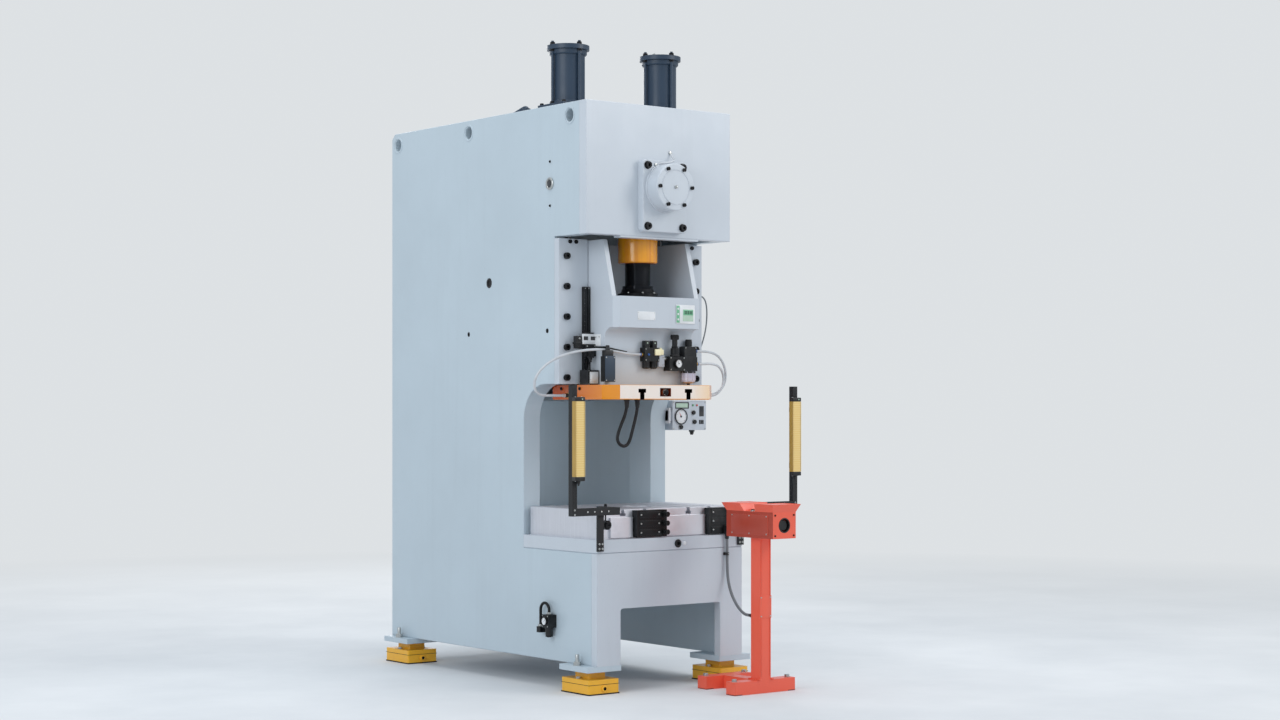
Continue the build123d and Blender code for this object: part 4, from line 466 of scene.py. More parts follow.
class Parts:
    """A mesh that grows shape by shape; at can name several spots at once."""

    def __init__(self):
        self.bm = bmesh.new()
        self.materials = []

    def skin(self, faces, material):
        if material not in self.materials:
            self.materials.append(material)
        for face in faces:
            face.material_index = self.materials.index(material)

    def turn(self, material, at, axis, profile, segments=32):
        """A turned shape: (radius, height) pairs along axis from at."""
        basis = turned_basis(axis)
        for spot in spots(at):
            rings = []
            for radius, height in profile:
                ring = circle(segments, radius, 0, 0) if radius else [(0, 0)]
                rings.append([self.bm.verts.new(metres(*spot) + basis @ metres(u, v, height)) for u, v in ring])
            faces = []
            for low, high in zip(rings, rings[1:]):
                for k in range(segments):
                    a, b = low[k % len(low)], low[(k + 1) % len(low)]
                    c, d = high[(k + 1) % len(high)], high[k % len(high)]
                    corners = [v for i, v in enumerate((a, b, c, d)) if v not in (a, b, c, d)[:i]]
                    if len(corners) > 2:
                        faces.append(self.bm.faces.new(corners))
            self.skin(faces, material)

    def collar(self, material, at, axis, inner, outer, height, segments=24):
        self.turn(material, at, axis, [(inner, 0), (outer, 0), (outer, height), (inner, height)], segments)

    def drawn(self, material, corners, vector, bevel):
        """A face through corners, drawn along vector, with rounded edges."""
        low = [self.bm.verts.new(corner) for corner in corners]
        made = bmesh.ops.extrude_face_region(self.bm, geom=[self.bm.faces.new(low)])["geom"]
        high = [v for v in made if isinstance(v, bmesh.types.BMVert)]
        bmesh.ops.translate(self.bm, verts=high, vec=vector)
        faces = {f for v in low + high for f in v.link_faces}
        if bevel:
            rim = {e for f in faces for e in f.edges}
            made = bmesh.ops.bevel(
                self.bm, geom=list(rim), offset=bevel / 1000, segments=2, affect="EDGES", profile=0.6)
            faces = {f for v in made["verts"] for f in v.link_faces} | {f for f in faces if f.is_valid}
        self.skin(faces, material)

    def prism(self, material, at, axis, outline, height, bevel=0.0, turn=0.0):
        """An outline in the plane across axis, drawn up by height."""
        basis, spin = turned_basis(axis), Matrix.Rotation(turn, 3, "Z")
        for spot in spots(at):
            corners = [metres(*spot) + basis @ (spin @ metres(x, y, 0)) for x, y in outline]
            self.drawn(material, corners, basis @ metres(0, 0, height), bevel)

    def block(self, material, low, high, bevel=0.0):
        """A block by its two corners."""
        (x0, y0, z0), (x1, y1, z1) = low, high
        outline = [(x0, y0), (x1, y0), (x1, y1), (x0, y1)]
        self.drawn(material, [metres(x, y, z0) for x, y in outline], metres(0, 0, z1 - z0), bevel)

    def box(self, material, at, size, bevel=0.0):
        """A block by its middle and size."""
        for spot in spots(at):
            low, high = zip(*((c - s / 2, c + s / 2) for c, s in zip(spot, size)))
            self.block(material, low, high, bevel)

    def hexagon(self, material, at, axis, across, height, turn=0.0):
        self.prism(material, at, axis, circle(6, across / math.sqrt(3), 0, 0), height, across * 0.05, turn)

    def bolt(self, material, at, axis, across, height):
        """A hexagon head on a washer."""
        r, t = across * 0.62, across * 0.1
        self.turn(material, at, axis, [(0, 0), (r, 0), (r, t), (across * 0.5, t * 1.05)], 24)
        self.hexagon(material, at, axis, across, height)

    def screw(self, material, at, axis, r, h):
        """A pan head with a hexagon socket's dark mouth."""
        self.turn(material, at, axis, [
            (r, -0.2), (r, h * 0.7), (r * 0.86, h), (r * 0.5, h), (r * 0.44, h * 0.35), (0, h * 0.3),
        ], 24)

    def gland(self, x, y, z):
        """A cable gland below z."""
        self.hexagon(BLACK, (x, y, z), DOWN, 30, 10)
        self.turn(BLACK, (x, y, z - 10), DOWN, [(12, 0), (12, 8), (8, 14), (0, 14)], 24)

    def tube(self, material, points, radius, segments=12):
        """A round bar through points, with its corners rounded by the spline it follows."""
        path = nurbs("path", [metres(*point) for point in points], 6)
        holder = bpy.data.objects.new("path", path)
        line = bpy.data.meshes.new_from_object(holder)
        spine = [v.co.copy() for v in line.vertices]
        bpy.data.objects.remove(holder)
        bpy.data.curves.remove(path)
        bpy.data.meshes.remove(line)
        side = turned_basis(spine[1] - spine[0]).col[0].copy()
        rings = []
        for i, spot in enumerate(spine):
            ahead = (spine[min(i + 1, len(spine) - 1)] - spine[max(i - 1, 0)]).normalized()
            side = (side - ahead * side.dot(ahead)).normalized()
            other = ahead.cross(side)
            rings.append([
                self.bm.verts.new(spot + (side * u + other * v) * (radius / 1000))
                for u, v in circle(segments, 1, 0, 0)
            ])
        faces = [self.bm.faces.new(rings[0][::-1]), self.bm.faces.new(rings[-1])]
        for low, high in zip(rings, rings[1:]):
            for k in range(segments):
                n = (k + 1) % segments
                faces.append(self.bm.faces.new((low[k], low[n], high[n], high[k])))
        self.skin(faces, material)

    def mark(self, material, x, y, z, turn, outline):
        """A flat mark on a face towards the front, turned about its own middle."""
        ca, sa = math.cos(turn), math.sin(turn)
        corners = [(x + u * ca - v * sa, y, z + u * sa + v * ca) for u, v in outline]
        self.skin([self.bm.faces.new([self.bm.verts.new(metres(*c)) for c in corners])], material)

    def piece(self, name, slot, body="frame"):
        """The gathered shapes as one object of the scene."""
        bmesh.ops.recalc_face_normals(self.bm, faces=self.bm.faces)
        mesh = bpy.data.meshes.new(name)
        self.bm.to_mesh(mesh)
        self.bm.free()
        for material in self.materials:
            mesh.materials.append(paints[material])
        mesh.shade_smooth()
        mesh.set_sharp_from_angle(angle=math.radians(35))
        piece = add(name, mesh)
        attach(piece, body)


FACE = -620      # y of the head's front face
BED = -720       # y of the bed's front face
SLIDE = -520     # y of the slide's front face
PANEL = -70      # y of the operator box's front face
POST = -875      # y of the light curtain posts' front face
REAR = 1357      # y of the rear guard's back face
STEM = -420      # y of the connecting rod's and screw's middle
ROOF = 3165      # height of the roof's top face
MOTOR = 1760     # height of the motor's shaft
SIDES = ((-1, "left"), (1, "right"))
BLACK, WHITE, OXIDE, ALLOY = "black_plastic", "white_plastic", "black_oxide", "black_alloy"
SLATE, RED, GLASS = "slate_paint", "stand_red", "dark_glass"

# Balance cylinders: tie rod nuts, base bolts, end plugs and the pipes' unions
for side, hand in SIDES:
    x, y = side * 322, FACE + 410
    p = Parts()
    for rx, ry in circle(4, 105, x, y):
        p.bolt(OXIDE, (rx, ry, (3190, 3515)), UP, 24, 13)
        p.bolt(OXIDE, (rx, ry, 3490), DOWN, 24, 12)
    p.screw(OXIDE, ((x - 104, x + 104), (y - 104, y + 104), 3190), UP, 11, 12)
    p.turn(SLATE, (x, y, 3190), UP, [(92.6, 0), (104, 0), (104, 12), (98.5, 18), (92.6, 18)], 64)
    p.turn(SLATE, (x, y, 3462), UP, [(92.6, 0), (98.5, 0), (104, 6), (104, 28), (92.6, 28)], 64)
    p.hexagon("brass", (x, y, 3515), UP, 30, 10)
    p.turn("zinc", (x, y, 3525), UP, [(11, 0), (11, 5), (8, 8.5), (0, 9.5)], 24)
    p.hexagon("zinc", (x, y + 120, 3182), BACK, 46, 24)
    p.collar(SLATE, (x, y + 382, 3182), BACK, 17.2, 22.5, 20)
    p.collar(SLATE, (x, y + 403, 3198), UP, 17.2, 22.5, 16)
    if side > 0:
        p.turn("zinc", (x - 45, y - 2, 3524.6), BACK, [
            (5.2, -2.5), (9.6, -3.5), (9.6, 3.5), (5.2, 2.5), (5.2, -2.5),
        ], 28)
    p.piece("balance_fittings_" + hand, "slate_paint")

# Roof: cover plate with its screws, oil filler, and the air line between the cylinders' pipes
p = Parts()
p.block("front_paint", (-200, 60, ROOF), (200, 860, ROOF + 6), 2)
for k in range(5):
    p.screw(OXIDE, ((-180, 180), 90 + k * 185, ROOF + 6), UP, 8, 7)
p.turn(BLACK, (300, 620, ROOF), UP, [
    (0, 0), (42, 0), (42, 8), (30, 10), (30, 30), (36, 32), (36, 55), (30, 60), (0, 62),
], 40)
for x, end, clips in ((-322, 950, (500, 720, 920)), (322, 550, (420, 520))):
    p.tube(SLATE, [
        (x, 190, 3207), (x, 190, 3216), (x, 215, 3219), (x, 300, 3196), (x, 380, 3183), (x, end, 3183),
    ], 13)
    for y in clips:
        p.box("zinc", (x, y, ROOF + 3.5), (44, 16, 7), 1)
        p.collar("zinc", (x, y - 7, 3183), BACK, 13.1, 15.5, 14, 20)
    p.turn(OXIDE, (x, end - 5, 3183), BACK, [(0, 0), (19, 0), (19, 22), (12, 30), (0, 30)], 24)
p.piece("roof_fittings", "front_paint")

# Head front: bearing cap's turned rings and grease nipple, grease line, washers under the housing's screws
p = Parts()
p.turn("front_paint", (0, FACE - 140, 2715), FRONT, [(96, -0.5), (95, 2.2), (92.5, 2.2), (91.5, -0.5)], 96)
p.turn("front_paint", (0, FACE - 45, 2715), FRONT, [(128.1, 0), (134, 0), (134, 6), (131, 9), (128.1, 9)], 96)
p.turn("zinc", (0, FACE - 140, 2715), FRONT, [(9, -0.5), (9, 4), (5, 6), (5, 12), (3.5, 14), (0, 14)], 20)
p.turn(OXIDE, ((-120, 120), FACE - 45, (2505, 2835)), FRONT, [(18.1, 0), (22, 0), (22, 2.5), (18.1, 2.8)])
p.tube("hose_grey", [
    (69, -620, 2915), (71, -632, 2900), (71, -646, 2884), (62, -668, 2872), (40, -675, 2860),
    (4, -676, 2853.5), (-30, -675, 2849.5), (-52, -672, 2844), (-64, -666, 2840),
], 3.4)
p.hexagon("zinc", (69, -620, 2916), FRONT, 17, 7)
p.hexagon("zinc", (-66, -665, 2840), FRONT, 15, 6)
p.piece("bearing_trim", "front_paint")

# Side plates: rings round the lifting holes, plugs, sight glass with its screws
p = Parts()
for side in (-1, 1):
    p.turn("frame_paint", (side * 500, (-470, 520, 1290), 3095), (side, 0, 0), [
        (38.5, -0.5), (39.5, 3), (44, 4.2), (48.5, 3), (49.5, -0.5),
    ], 56)
    for y, z, r in ((310, 2225, 27.5), (520, 1940, 12.5), (-260, 1940, 12.5)):
        p.turn(BLACK, (side * 497.5, y, z), (side, 0, 0), [
            (0, -4), (r * 0.55, -4), (r * 0.62, 1), (r * 0.98, 1), (r * 1.02, -1),
        ])
p.screw(OXIDE, (-500, -290, (2620, 2860)), LEFT, 7, 5)
p.turn("zinc", (-500, -290, 2740), LEFT, [(0, 0), (34, 0), (34, 6), (30, 9), (24, 9), (22, 6)], 40)
p.turn(GLASS, (-500, -290, 2740), LEFT, [(22.5, 5.5), (12, 6.5), (0, 7)], 40)
p.piece("side_trim", "frame_paint")

# Bed front: table port and white dot
p = Parts()
p.turn(BLACK, (45, BED, 783.5), FRONT, [
    (15.5, -12), (15.5, 1), (22, 1), (22, 5), (19, 7), (11, 7), (10, -6), (0, -7),
])
p.turn(WHITE, (92, BED, 783.5), FRONT, [(11, -0.3), (11, 3), (8, 5.5), (0, 6.5)], 28)
p.piece("table_trim", "black_plastic")

# Gibs: clamp screws beside the top of each keeper
p = Parts()
p.screw(OXIDE, ((-425, -385, 385, 425), -370, 2424), FRONT, 11, 10)
p.piece("gib_trim", "black_oxide")

# Die lifter blocks: rings and hexagons on the plugs, lids with screws; the round switch knob's rings
p = Parts()
rows = (850, 898, 946)
for x, lid, width in ((-48, -146.5, 141), (442, 348.5, 131)):
    p.hexagon(OXIDE, (x, BED, rows), FRONT, 30, 10, math.pi / 6)
    p.turn(ALLOY, (x, BED - 28, rows), FRONT, [(12, -2), (14.5, 0), (14.5, 4), (12, 6), (0, 6)], 24)
    p.collar(ALLOY, (x, BED - 15, rows), FRONT, 12.1, 13.8, 3)
    p.box(ALLOY, (lid, BED - 1.25, rows), (width, 2.5, 34), 0.8)
    p.screw("zinc", ((lid - width / 2 + 10, lid + width / 2 - 10), BED - 2.5, rows), FRONT, 4.5, 3)
p.turn(OXIDE, (-430, BED, 898), FRONT, [(19, -0.5), (19, 6), (15, 9), (8, 9), (7, 3), (0, 3)])
p.turn(ALLOY, (-430, -700, 1010), UP, [(4, -18), (8, -15), (9, -4), (6, 0), (0, 0)], 20)
p.piece("die_lift_trim", "black_alloy")

# Pads: rubber soles, wedge joints, adjusting screws in front, levelling studs on the foot plates
p = Parts()
for side, y in product((-1, 1), (-590, 1220)):
    x = side * 450
    p.box("black_rubber", (x, y, 3.5), (202.4, 252.4, 7), 1)
    p.box("black_rubber", (x, y, 53.75), (200.8, 250.8, 2.5))
    p.turn("pad_yellow", (x, y - 125, 32), FRONT, [(17, -0.5), (17, 6), (14, 8), (9.5, 8)], 28)
    p.turn(OXIDE, (x, y - 125, 32), FRONT, [(9.6, 7.8), (9, 1), (0, 1)], 24)
    p.bolt("zinc", ((x - 78, x + 78), y, 80), UP, 22, 11)
    p.bolt("zinc", (side * 535, y, 150), UP, 36, 20)
    p.turn("zinc", (side * 535, y, 170), UP, [(11, 0), (11, 34), (9, 38), (0, 38)], 20)
p.piece("pad_fittings", "pad_yellow")

# Slide valves: caps, fittings and screws; y of the valves' middle, the air unit's middle and its front
p = Parts()
grooves = (1743, 1749, 1755, 1761, 1767)
valve_y, unit_y, front_y = SLIDE - 24, SLIDE - 39, SLIDE - 55
for x in (-38, 14):
    p.turn(BLACK, (x, valve_y, 1736), UP, [(0, -2), (12, -2), (16, 0), (20.8, 4), (20.8, 12), (19.5, 13)], 40)
    p.turn(BLACK, (x, valve_y, grooves), UP, [(19.9, 0), (21.2, 1), (21.2, 3.5), (19.9, 4.5)], 40)
    p.box(BLACK, (x, valve_y, 1875), (31, 31, 26), 3)
    p.screw("zinc", (x, valve_y, 1888), UP, 4, 3)
    p.turn("display", (x, SLIDE - 39.5, 1875), FRONT, [(3.5, -0.5), (3.5, 1), (0, 2)], 20)
    p.turn("blue_plastic", (x + 3, SLIDE - 45, 1812), FRONT, [(6, -0.5), (6, 4), (4.8, 5.5), (0, 5.5)], 24)
p.screw("zinc", ((-54, 34), SLIDE - 45, (1782, 1843)), FRONT, 3.5, 3)
p.block(ALLOY, (-12, SLIDE - 46.2, 1777), (-10.5, SLIDE - 45, 1848), 0.4)
p.block("cream_plastic", (6, SLIDE - 57.5, 1808), (44, SLIDE - 44.5, 1842), 3)
p.block("cream_plastic", (40, SLIDE - 50, 1811), (68, SLIDE - 16, 1841), 4)
p.turn("cream_plastic", (54, SLIDE - 33, 1841), UP, [(10, -1), (10, 6), (7.5, 9), (0, 9)], 28)
p.block("grey_plastic", (38.5, SLIDE - 40, 1745), (80, SLIDE, 1810), 3)
p.screw("zinc", (70, SLIDE - 40, (1757, 1797)), FRONT, 3.5, 3)
p.hexagon("zinc", (80, valve_y, 1790), RIGHT, 16, 25)
# air unit: knob with ribs, bonnet, gauge, bowl guard
p.turn(BLACK, (152, unit_y, 1803), UP, [(24.4, 1), (26.8, 3), (26.8, 9), (24.4, 12)], 40)
for x, y in circle(20, 22.2, 152, unit_y):
    p.turn(BLACK, (x, y, 1898.5), UP, [(0, 0), (1.8, 1), (1.8, 20), (0, 21.5)], 8)
p.turn(BLACK, (152, unit_y, 1921.5), UP, [(21.5, 0), (20.5, 2), (15, 3), (14, 1), (0, 1)], 40)
p.turn(OXIDE, (152, unit_y, 1851.5), UP, [(15.2, 0), (18.5, 0.5), (18.5, 7), (15.2, 7.5)])
p.turn(BLACK, (160, front_y, 1764), FRONT, [
    (23.5, -1), (24.5, 2), (24.5, 14), (22.5, 16), (21.5, 14.5), (21.5, 12.5),
], 48)
p.turn(WHITE, (160, front_y, 1764), FRONT, [(21.6, 12.2), (0, 12.4)], 48)
for k in range(13):
    a = math.radians(225 - k * 22.5)
    x, z = 160 + 18.5 * math.cos(a), 1764 + 18.5 * math.sin(a)
    size = 1.8 if k % 3 else 2.6
    p.box(BLACK, (x, SLIDE - 67.55, z), (size, 0.5, size))
p.tube(OXIDE, [(160, SLIDE - 68.2, 1764), (157, SLIDE - 68.2, 1770), (152, SLIDE - 68.2, 1777)], 0.7, 6)
p.turn(OXIDE, (160, SLIDE - 67.2, 1764), FRONT, [(2.8, 0), (2.8, 1.6), (0, 2)], 16)
p.turn("pale_bowl", (248, unit_y, 1664), UP, [
    (0, -10), (12, -9.5), (26, -6), (34, 0), (38.5, 6), (38.5, 18), (38, 20),
], 48)
for x, y in circle(8, 38.5, 248, unit_y):
    if y < SLIDE - 8:
        p.turn("pale_bowl", (x, y, 1672), UP, [(0, 0), (3, 2), (3, 48), (0, 50)], 10)
p.turn(BLACK, (248, unit_y, 1712), UP, [(38.1, 0), (41.2, 1), (41.2, 10), (38.1, 12)], 48)
p.turn(BLACK, (248, unit_y, 1656), DOWN, [(7, -4), (9, 0), (9, 10), (5, 12), (5, 18), (0, 18)], 24)
p.turn(BLACK, (262, valve_y, 1892), UP, [(17.8, -1), (18.8, 1), (18.8, 5), (16, 8), (0, 8.5)])
for x, y in circle(12, 18, 262, valve_y):
    p.turn(BLACK, (x, y, 1864), UP, [(0, 0), (1.6, 1), (1.6, 26), (0, 27)], 8)
p.screw("zinc", ((112, 205), front_y, (1731, 1796)), FRONT, 3.8, 3.5)
p.screw("zinc", ((222, 293), SLIDE - 48, 1853), FRONT, 3.8, 3.5)
for x, y, z, side in ((-60, valve_y, 1812, -1), (300, valve_y, 1836, 1), (300, SLIDE - 38, 1764, 1)):
    p.hexagon("brass", (x, y, z), (side, 0, 0), 20, 12)
    p.turn("blue_plastic", (x + side * 12, y, z), (side, 0, 0), [(7.1, 0), (9.5, 0.5), (9.5, 6), (7.1, 7)], 24)
# terminal box lid, its socket on top
p.block(SLATE, (-329.5, SLIDE - 44.5, 1660.5), (-262.5, SLIDE - 40.5, 1801.5), 1.5)
p.screw("zinc", ((-323, -269), SLIDE - 44.5, (1669, 1793)), FRONT, 3.5, 2)
p.block(BLACK, (-324, SLIDE - 38, 1799.5), (-270, SLIDE - 4, 1832), 4)
p.turn(BLACK, (-297, SLIDE - 21, 1832), UP, [(13, -1), (13, 10), (10.5, 14), (10.5, 24), (8, 27), (0, 27)], 28)
p.piece("valve_trim", "black_alloy", "slide")

# Slide front: height counter, a blank plate with rivets, corner screws, flared foot round the seat
p = Parts()
p.block(WHITE, (110, -624.5, 1983), (243, -619.5, 2087), 3)
p.block("panel_green", (112.5, -625.6, 1988), (134, -624, 2082), 0.8)
p.turn(WHITE, (123.2, -625.4, (2006, 2035, 2064)), FRONT, [(6, -0.3), (6, 1.2), (4, 2.2), (0, 2.2)], 20)
p.block("display", (157, -626.2, 1997), (230, -623.8, 2062), 1)
p.block("panel_green", (160, -626.8, 2030), (227, -625.6, 2059.5), 0.5)
digits = (171.4, 183.2, 195, 206.8, 218.6)
p.box(BLACK, (digits, -626.8, 2039.25), (6.8, 1.2, 6.5))
p.box(BLACK, (digits, -626.8, 2048.75), (6.8, 1.2, 8.5))
p.block(WHITE, (-154, -621.8, 1998), (-32, -619.6, 2044), 0.8)
p.turn("zinc", ((-148, -38), -621.8, (2004, 2038)), FRONT, [(2.8, -0.2), (2.4, 1), (0, 1.5)], 14)
p.screw(OXIDE, ((-280, 280), SLIDE, 1672), FRONT, 11, 9)
p.turn(OXIDE, (0, STEM, 2139.7), UP, [
    (88.6, -0.5), (110.8, -0.5), (110.8, 10), (109.5, 11.2), (98.5, 11.2),
    (93, 19), (89.3, 30), (86.6, 35), (84.6, 35),
], 96)
for x, y in circle(8, 103.8, 0, STEM, math.pi / 8):
    p.screw("zinc", (x, y, 2150.8), UP, 5.2, 5)
p.piece("slide_trim", "front_paint", "slide")

# Threads on the adjusting screw
p = Parts()
threads = tuple(range(2196, 2316, 4))
p.turn("oiled_steel", (0, STEM, threads), UP, [(69.9, 0), (71.2, 1.2), (71.2, 1.8), (69.9, 3)], 64)
p.piece("screw_thread", "black_oxide", "screw")

# Reading head: pale bracket with two windows, clamp, connector blocks, arm along the slide; sensor box lid
p = Parts()
p.block(WHITE, (-386, -435, 1866), (-300.1, -424, 1922), 3)
p.block(WHITE, (-304.5, -486, 1858), (-300.1, -424, 1920), 1)
p.box(BLACK, ((-365, -318), -435.35, 1898), (28, 1.7, 20), 1.2)
p.box(GLASS, ((-365, -318), -436.3, 1898), (23, 1, 15), 0.4)
p.screw("zinc", (-304.5, (-476, -446), 1906), LEFT, 4.2, 3)
p.block(BLACK, (-424, -430, 1842), (-385, -399, 1910), 4)
p.block(BLACK, (-428.5, -432, 1866), (-383, -398, 1878), 2)
p.screw("zinc", (-404.5, -430, 1897), FRONT, 5.5, 4)
p.block(ALLOY, (-372, -442, 1800), (-300.1, -424, 1866.5), 3)
p.block(BLACK, (-352, -452, 1792), (-322, -425, 1834), 3)
p.turn(BLACK, (-337, -438.5, 1792), DOWN, [(11, -1), (11, 6), (8, 12), (7.5, 22), (0, 23)], 24)
p.screw("zinc", ((-362, -310), -442, 1856), FRONT, 3.8, 3)
p.block(ALLOY, (-304.6, -524, 1838), (-300.1, -440, 1854), 0.8)
p.prism(ALLOY, (0, SLIDE, 0), FRONT, [(-304.6, 1838), (-304.6, 1854), (-152, 1829), (-152, 1820)], 4.2, 0.6)
p.block(WHITE, (-366, -474.5, 1652), (-309, -469, 1716), 4)
p.turn(WHITE, (-337.5, -469, 1684), FRONT, [(24, 5), (22, 8.5), (12, 10.5), (0, 11)], 36)
p.screw("zinc", ((-370, -305), -470.5, (1649.5, 1720.5)), FRONT, 2.6, 2)
p.hexagon(BLACK, (-340, -430, 1725), UP, 16, 7)
p.turn(BLACK, (-340, -430, 1732), UP, [(7, 0), (7, 6), (4.5, 10), (4, 22), (0, 23)], 20)
p.piece("reading_trim", "black_plastic", "slide")

# Scale: glass strip in the groove, end screws, marks
p = Parts()
p.block(GLASS, (-329.7, -386.8, 1672), (-320.3, -384.8, 2168), 0.4)
p.turn("zinc", ((-337, -313), -392, (1668, 2172)), FRONT, [
    (3.4, -0.4), (3.2, 0.3), (1.6, 0.3), (1.3, -0.4), (0, -0.4),
], 18)
for k in range(24):
    z = 1690 + k * 20
    width = 3.5 if k % 5 else 6
    p.block("zinc", (-343.8, -392.4, z - 0.3), (-343.8 + width, -391.9, z + 0.3))
p.piece("scale_trim", "black_alloy")

# Face plate: clamp screw's hexagon, port nuts, gland nuts, strain reliefs and side screws
p = Parts()
p.hexagon(OXIDE, (0, -670, 1605), FRONT, 26, 8, math.pi / 6)
p.turn(OXIDE, (0, -669.8, 1605), FRONT, [(19.5, -0.5), (19.5, 1.5), (16, 2.2), (15, 0.5)], 40)
for side, y, z in ((-1, -301, 1588), (1, -472, 1592), (1, -536, 1588)):
    p.hexagon("brass", (side * 380, y, z), (side, 0, 0), 28, 11)
    p.turn("zinc", (side * 410, y, z), (side, 0, 0), [
        (7.1, -1), (10.8, -0.5), (10.8, 4), (8.5, 6), (8.5, 16), (7.1, 17),
    ], 24)
p.hexagon(BLACK, ((-204, -132), -590, 1565), DOWN, 28, 9)
p.turn(BLACK, ((-204, -132), -590, 1546), DOWN, [(13.1, -1), (13.1, 3), (11.8, 10), (11, 22), (9.1, 26)], 28)
for side in (-1, 1):
    p.screw(OXIDE, (side * 380, (-400, -230), 1625), (side, 0, 0), 9, 7)
p.piece("face_plate_trim", "black_oxide", "slide")

# Conduit: ferrule at the elbow, lock nut at the stand, clip screw, wire gland nut
p = Parts()
p.turn(BLACK, (380, -736, 830), DOWN, [(13.5, -2), (13.5, 10), (11, 13), (11, 30), (8.2, 34)])
p.hexagon("zinc", (270, -1112.5, 405), BACK, 30, 7)
p.turn(BLACK, (270, -1081, 405), BACK, [(11.8, -8), (13.2, -6), (13.2, 4), (10.5, 10), (8.2, 24)])
p.screw("zinc", (380, -748, 714.5), FRONT, 3.5, 3)
p.hexagon(BLACK, (500, -290, 2165), RIGHT, 20, 8)
p.turn(BLACK, (518, -290, 2165), RIGHT, [(8.1, -0.5), (8.1, 2), (6.2, 8), (4.2, 18)], 24)
p.screw("zinc", (522, (-332, -320), 1787), RIGHT, 2.8, 2)
p.turn(BLACK, (511, -326, 1810), UP, [(7.5, -0.5), (7.5, 4), (5.8, 7), (4.2, 14)], 24)
p.piece("cord_trim", "black_plastic")

# Operator box: dial ring, ticks, pointer, bezel, button rings, lid screws, arm flange
p = Parts()
dx, dz = 585, 1469
p.turn(WHITE, (dx, PANEL - 4.2, dz), FRONT, [(39.4, 0), (0, 0.1)], 64)
for k in range(21):
    start, n = (34, 0.6) if k % 5 else (31, 1)
    turn = math.radians(225 - k * 13.5)
    p.mark(BLACK, dx, PANEL - 4.8, dz, turn, [(start, -n), (37.5, -n), (37.5, n), (start, n)])
p.mark("stop_red", dx, PANEL - 5.6, dz, math.radians(118), [(-4, -2.2), (29, -0.4), (29, 0.4), (-4, 2.2)])
p.turn(BLACK, (dx, PANEL - 4.5, dz), FRONT, [(5.5, 0), (5.5, 1.8), (4, 3), (0, 3)], 24)
p.turn(BLACK, (dx, PANEL, dz), FRONT, [
    (44.8, 2), (46.2, 4), (46.2, 7.8), (44, 8.8), (40.5, 8.6), (39.3, 7.2),
], 64)
p.block("display", (550, PANEL + 0.5, 1521), (640, PANEL + 2.8, 1547), 0.6)
p.box(BLACK, (595, PANEL - 0.6, (1518, 1550)), (100, 3.2, 5), 0.6)
p.box(BLACK, ((547.25, 642.75), PANEL - 0.6, 1534), (4.5, 3.2, 27), 0.6)
for x, z in ((678, 1492), (686, 1438), (585, 1408)):
    p.turn("zinc", (x, PANEL, z), FRONT, [(12.6, -0.5), (15.5, -0.5), (15.5, 3), (14.5, 4.5), (12.8, 4.5)], 36)
for x, lamp_paint in ((675, "green_plastic"), (705, "stop_red")):
    p.turn("zinc", (x, PANEL, 1535), FRONT, [(7.5, -0.5), (7.5, 2), (6, 3.2)], 24)
    p.turn(lamp_paint, (x, PANEL - 3, 1535), FRONT, [(5.8, -1), (5.5, 1.5), (3.5, 3.5), (0, 4.2)], 24)
p.block(GLASS, (724, PANEL - 1.5, 1470), (758, PANEL + 0.5, 1530), 0.8)
p.box(BLACK, ((728, 740, 752), PANEL - 1.25, 1437), (8, 3.5, 24), 1)
p.screw("zinc", ((532.5, 767.5), PANEL, (1397.5, 1552.5)), FRONT, 4.2, 3)
p.block(WHITE, (500, -72, 1430), (508, 12, 1520), 2)
p.screw(OXIDE, (508, (-64, 4), (1438, 1512)), RIGHT, 5, 4)
p.hexagon(BLACK, (700, -30, 1390), DOWN, 30, 10)
p.turn(BLACK, (700, -30, 1380), DOWN, [(12, 0), (12, 8), (9, 14), (8, 18), (0, 18)], 28)
p.block(WHITE, (523, -74, 1560.5), (774.8, 12, 1563.5), 1)
p.piece("operator_trim", "front_paint")

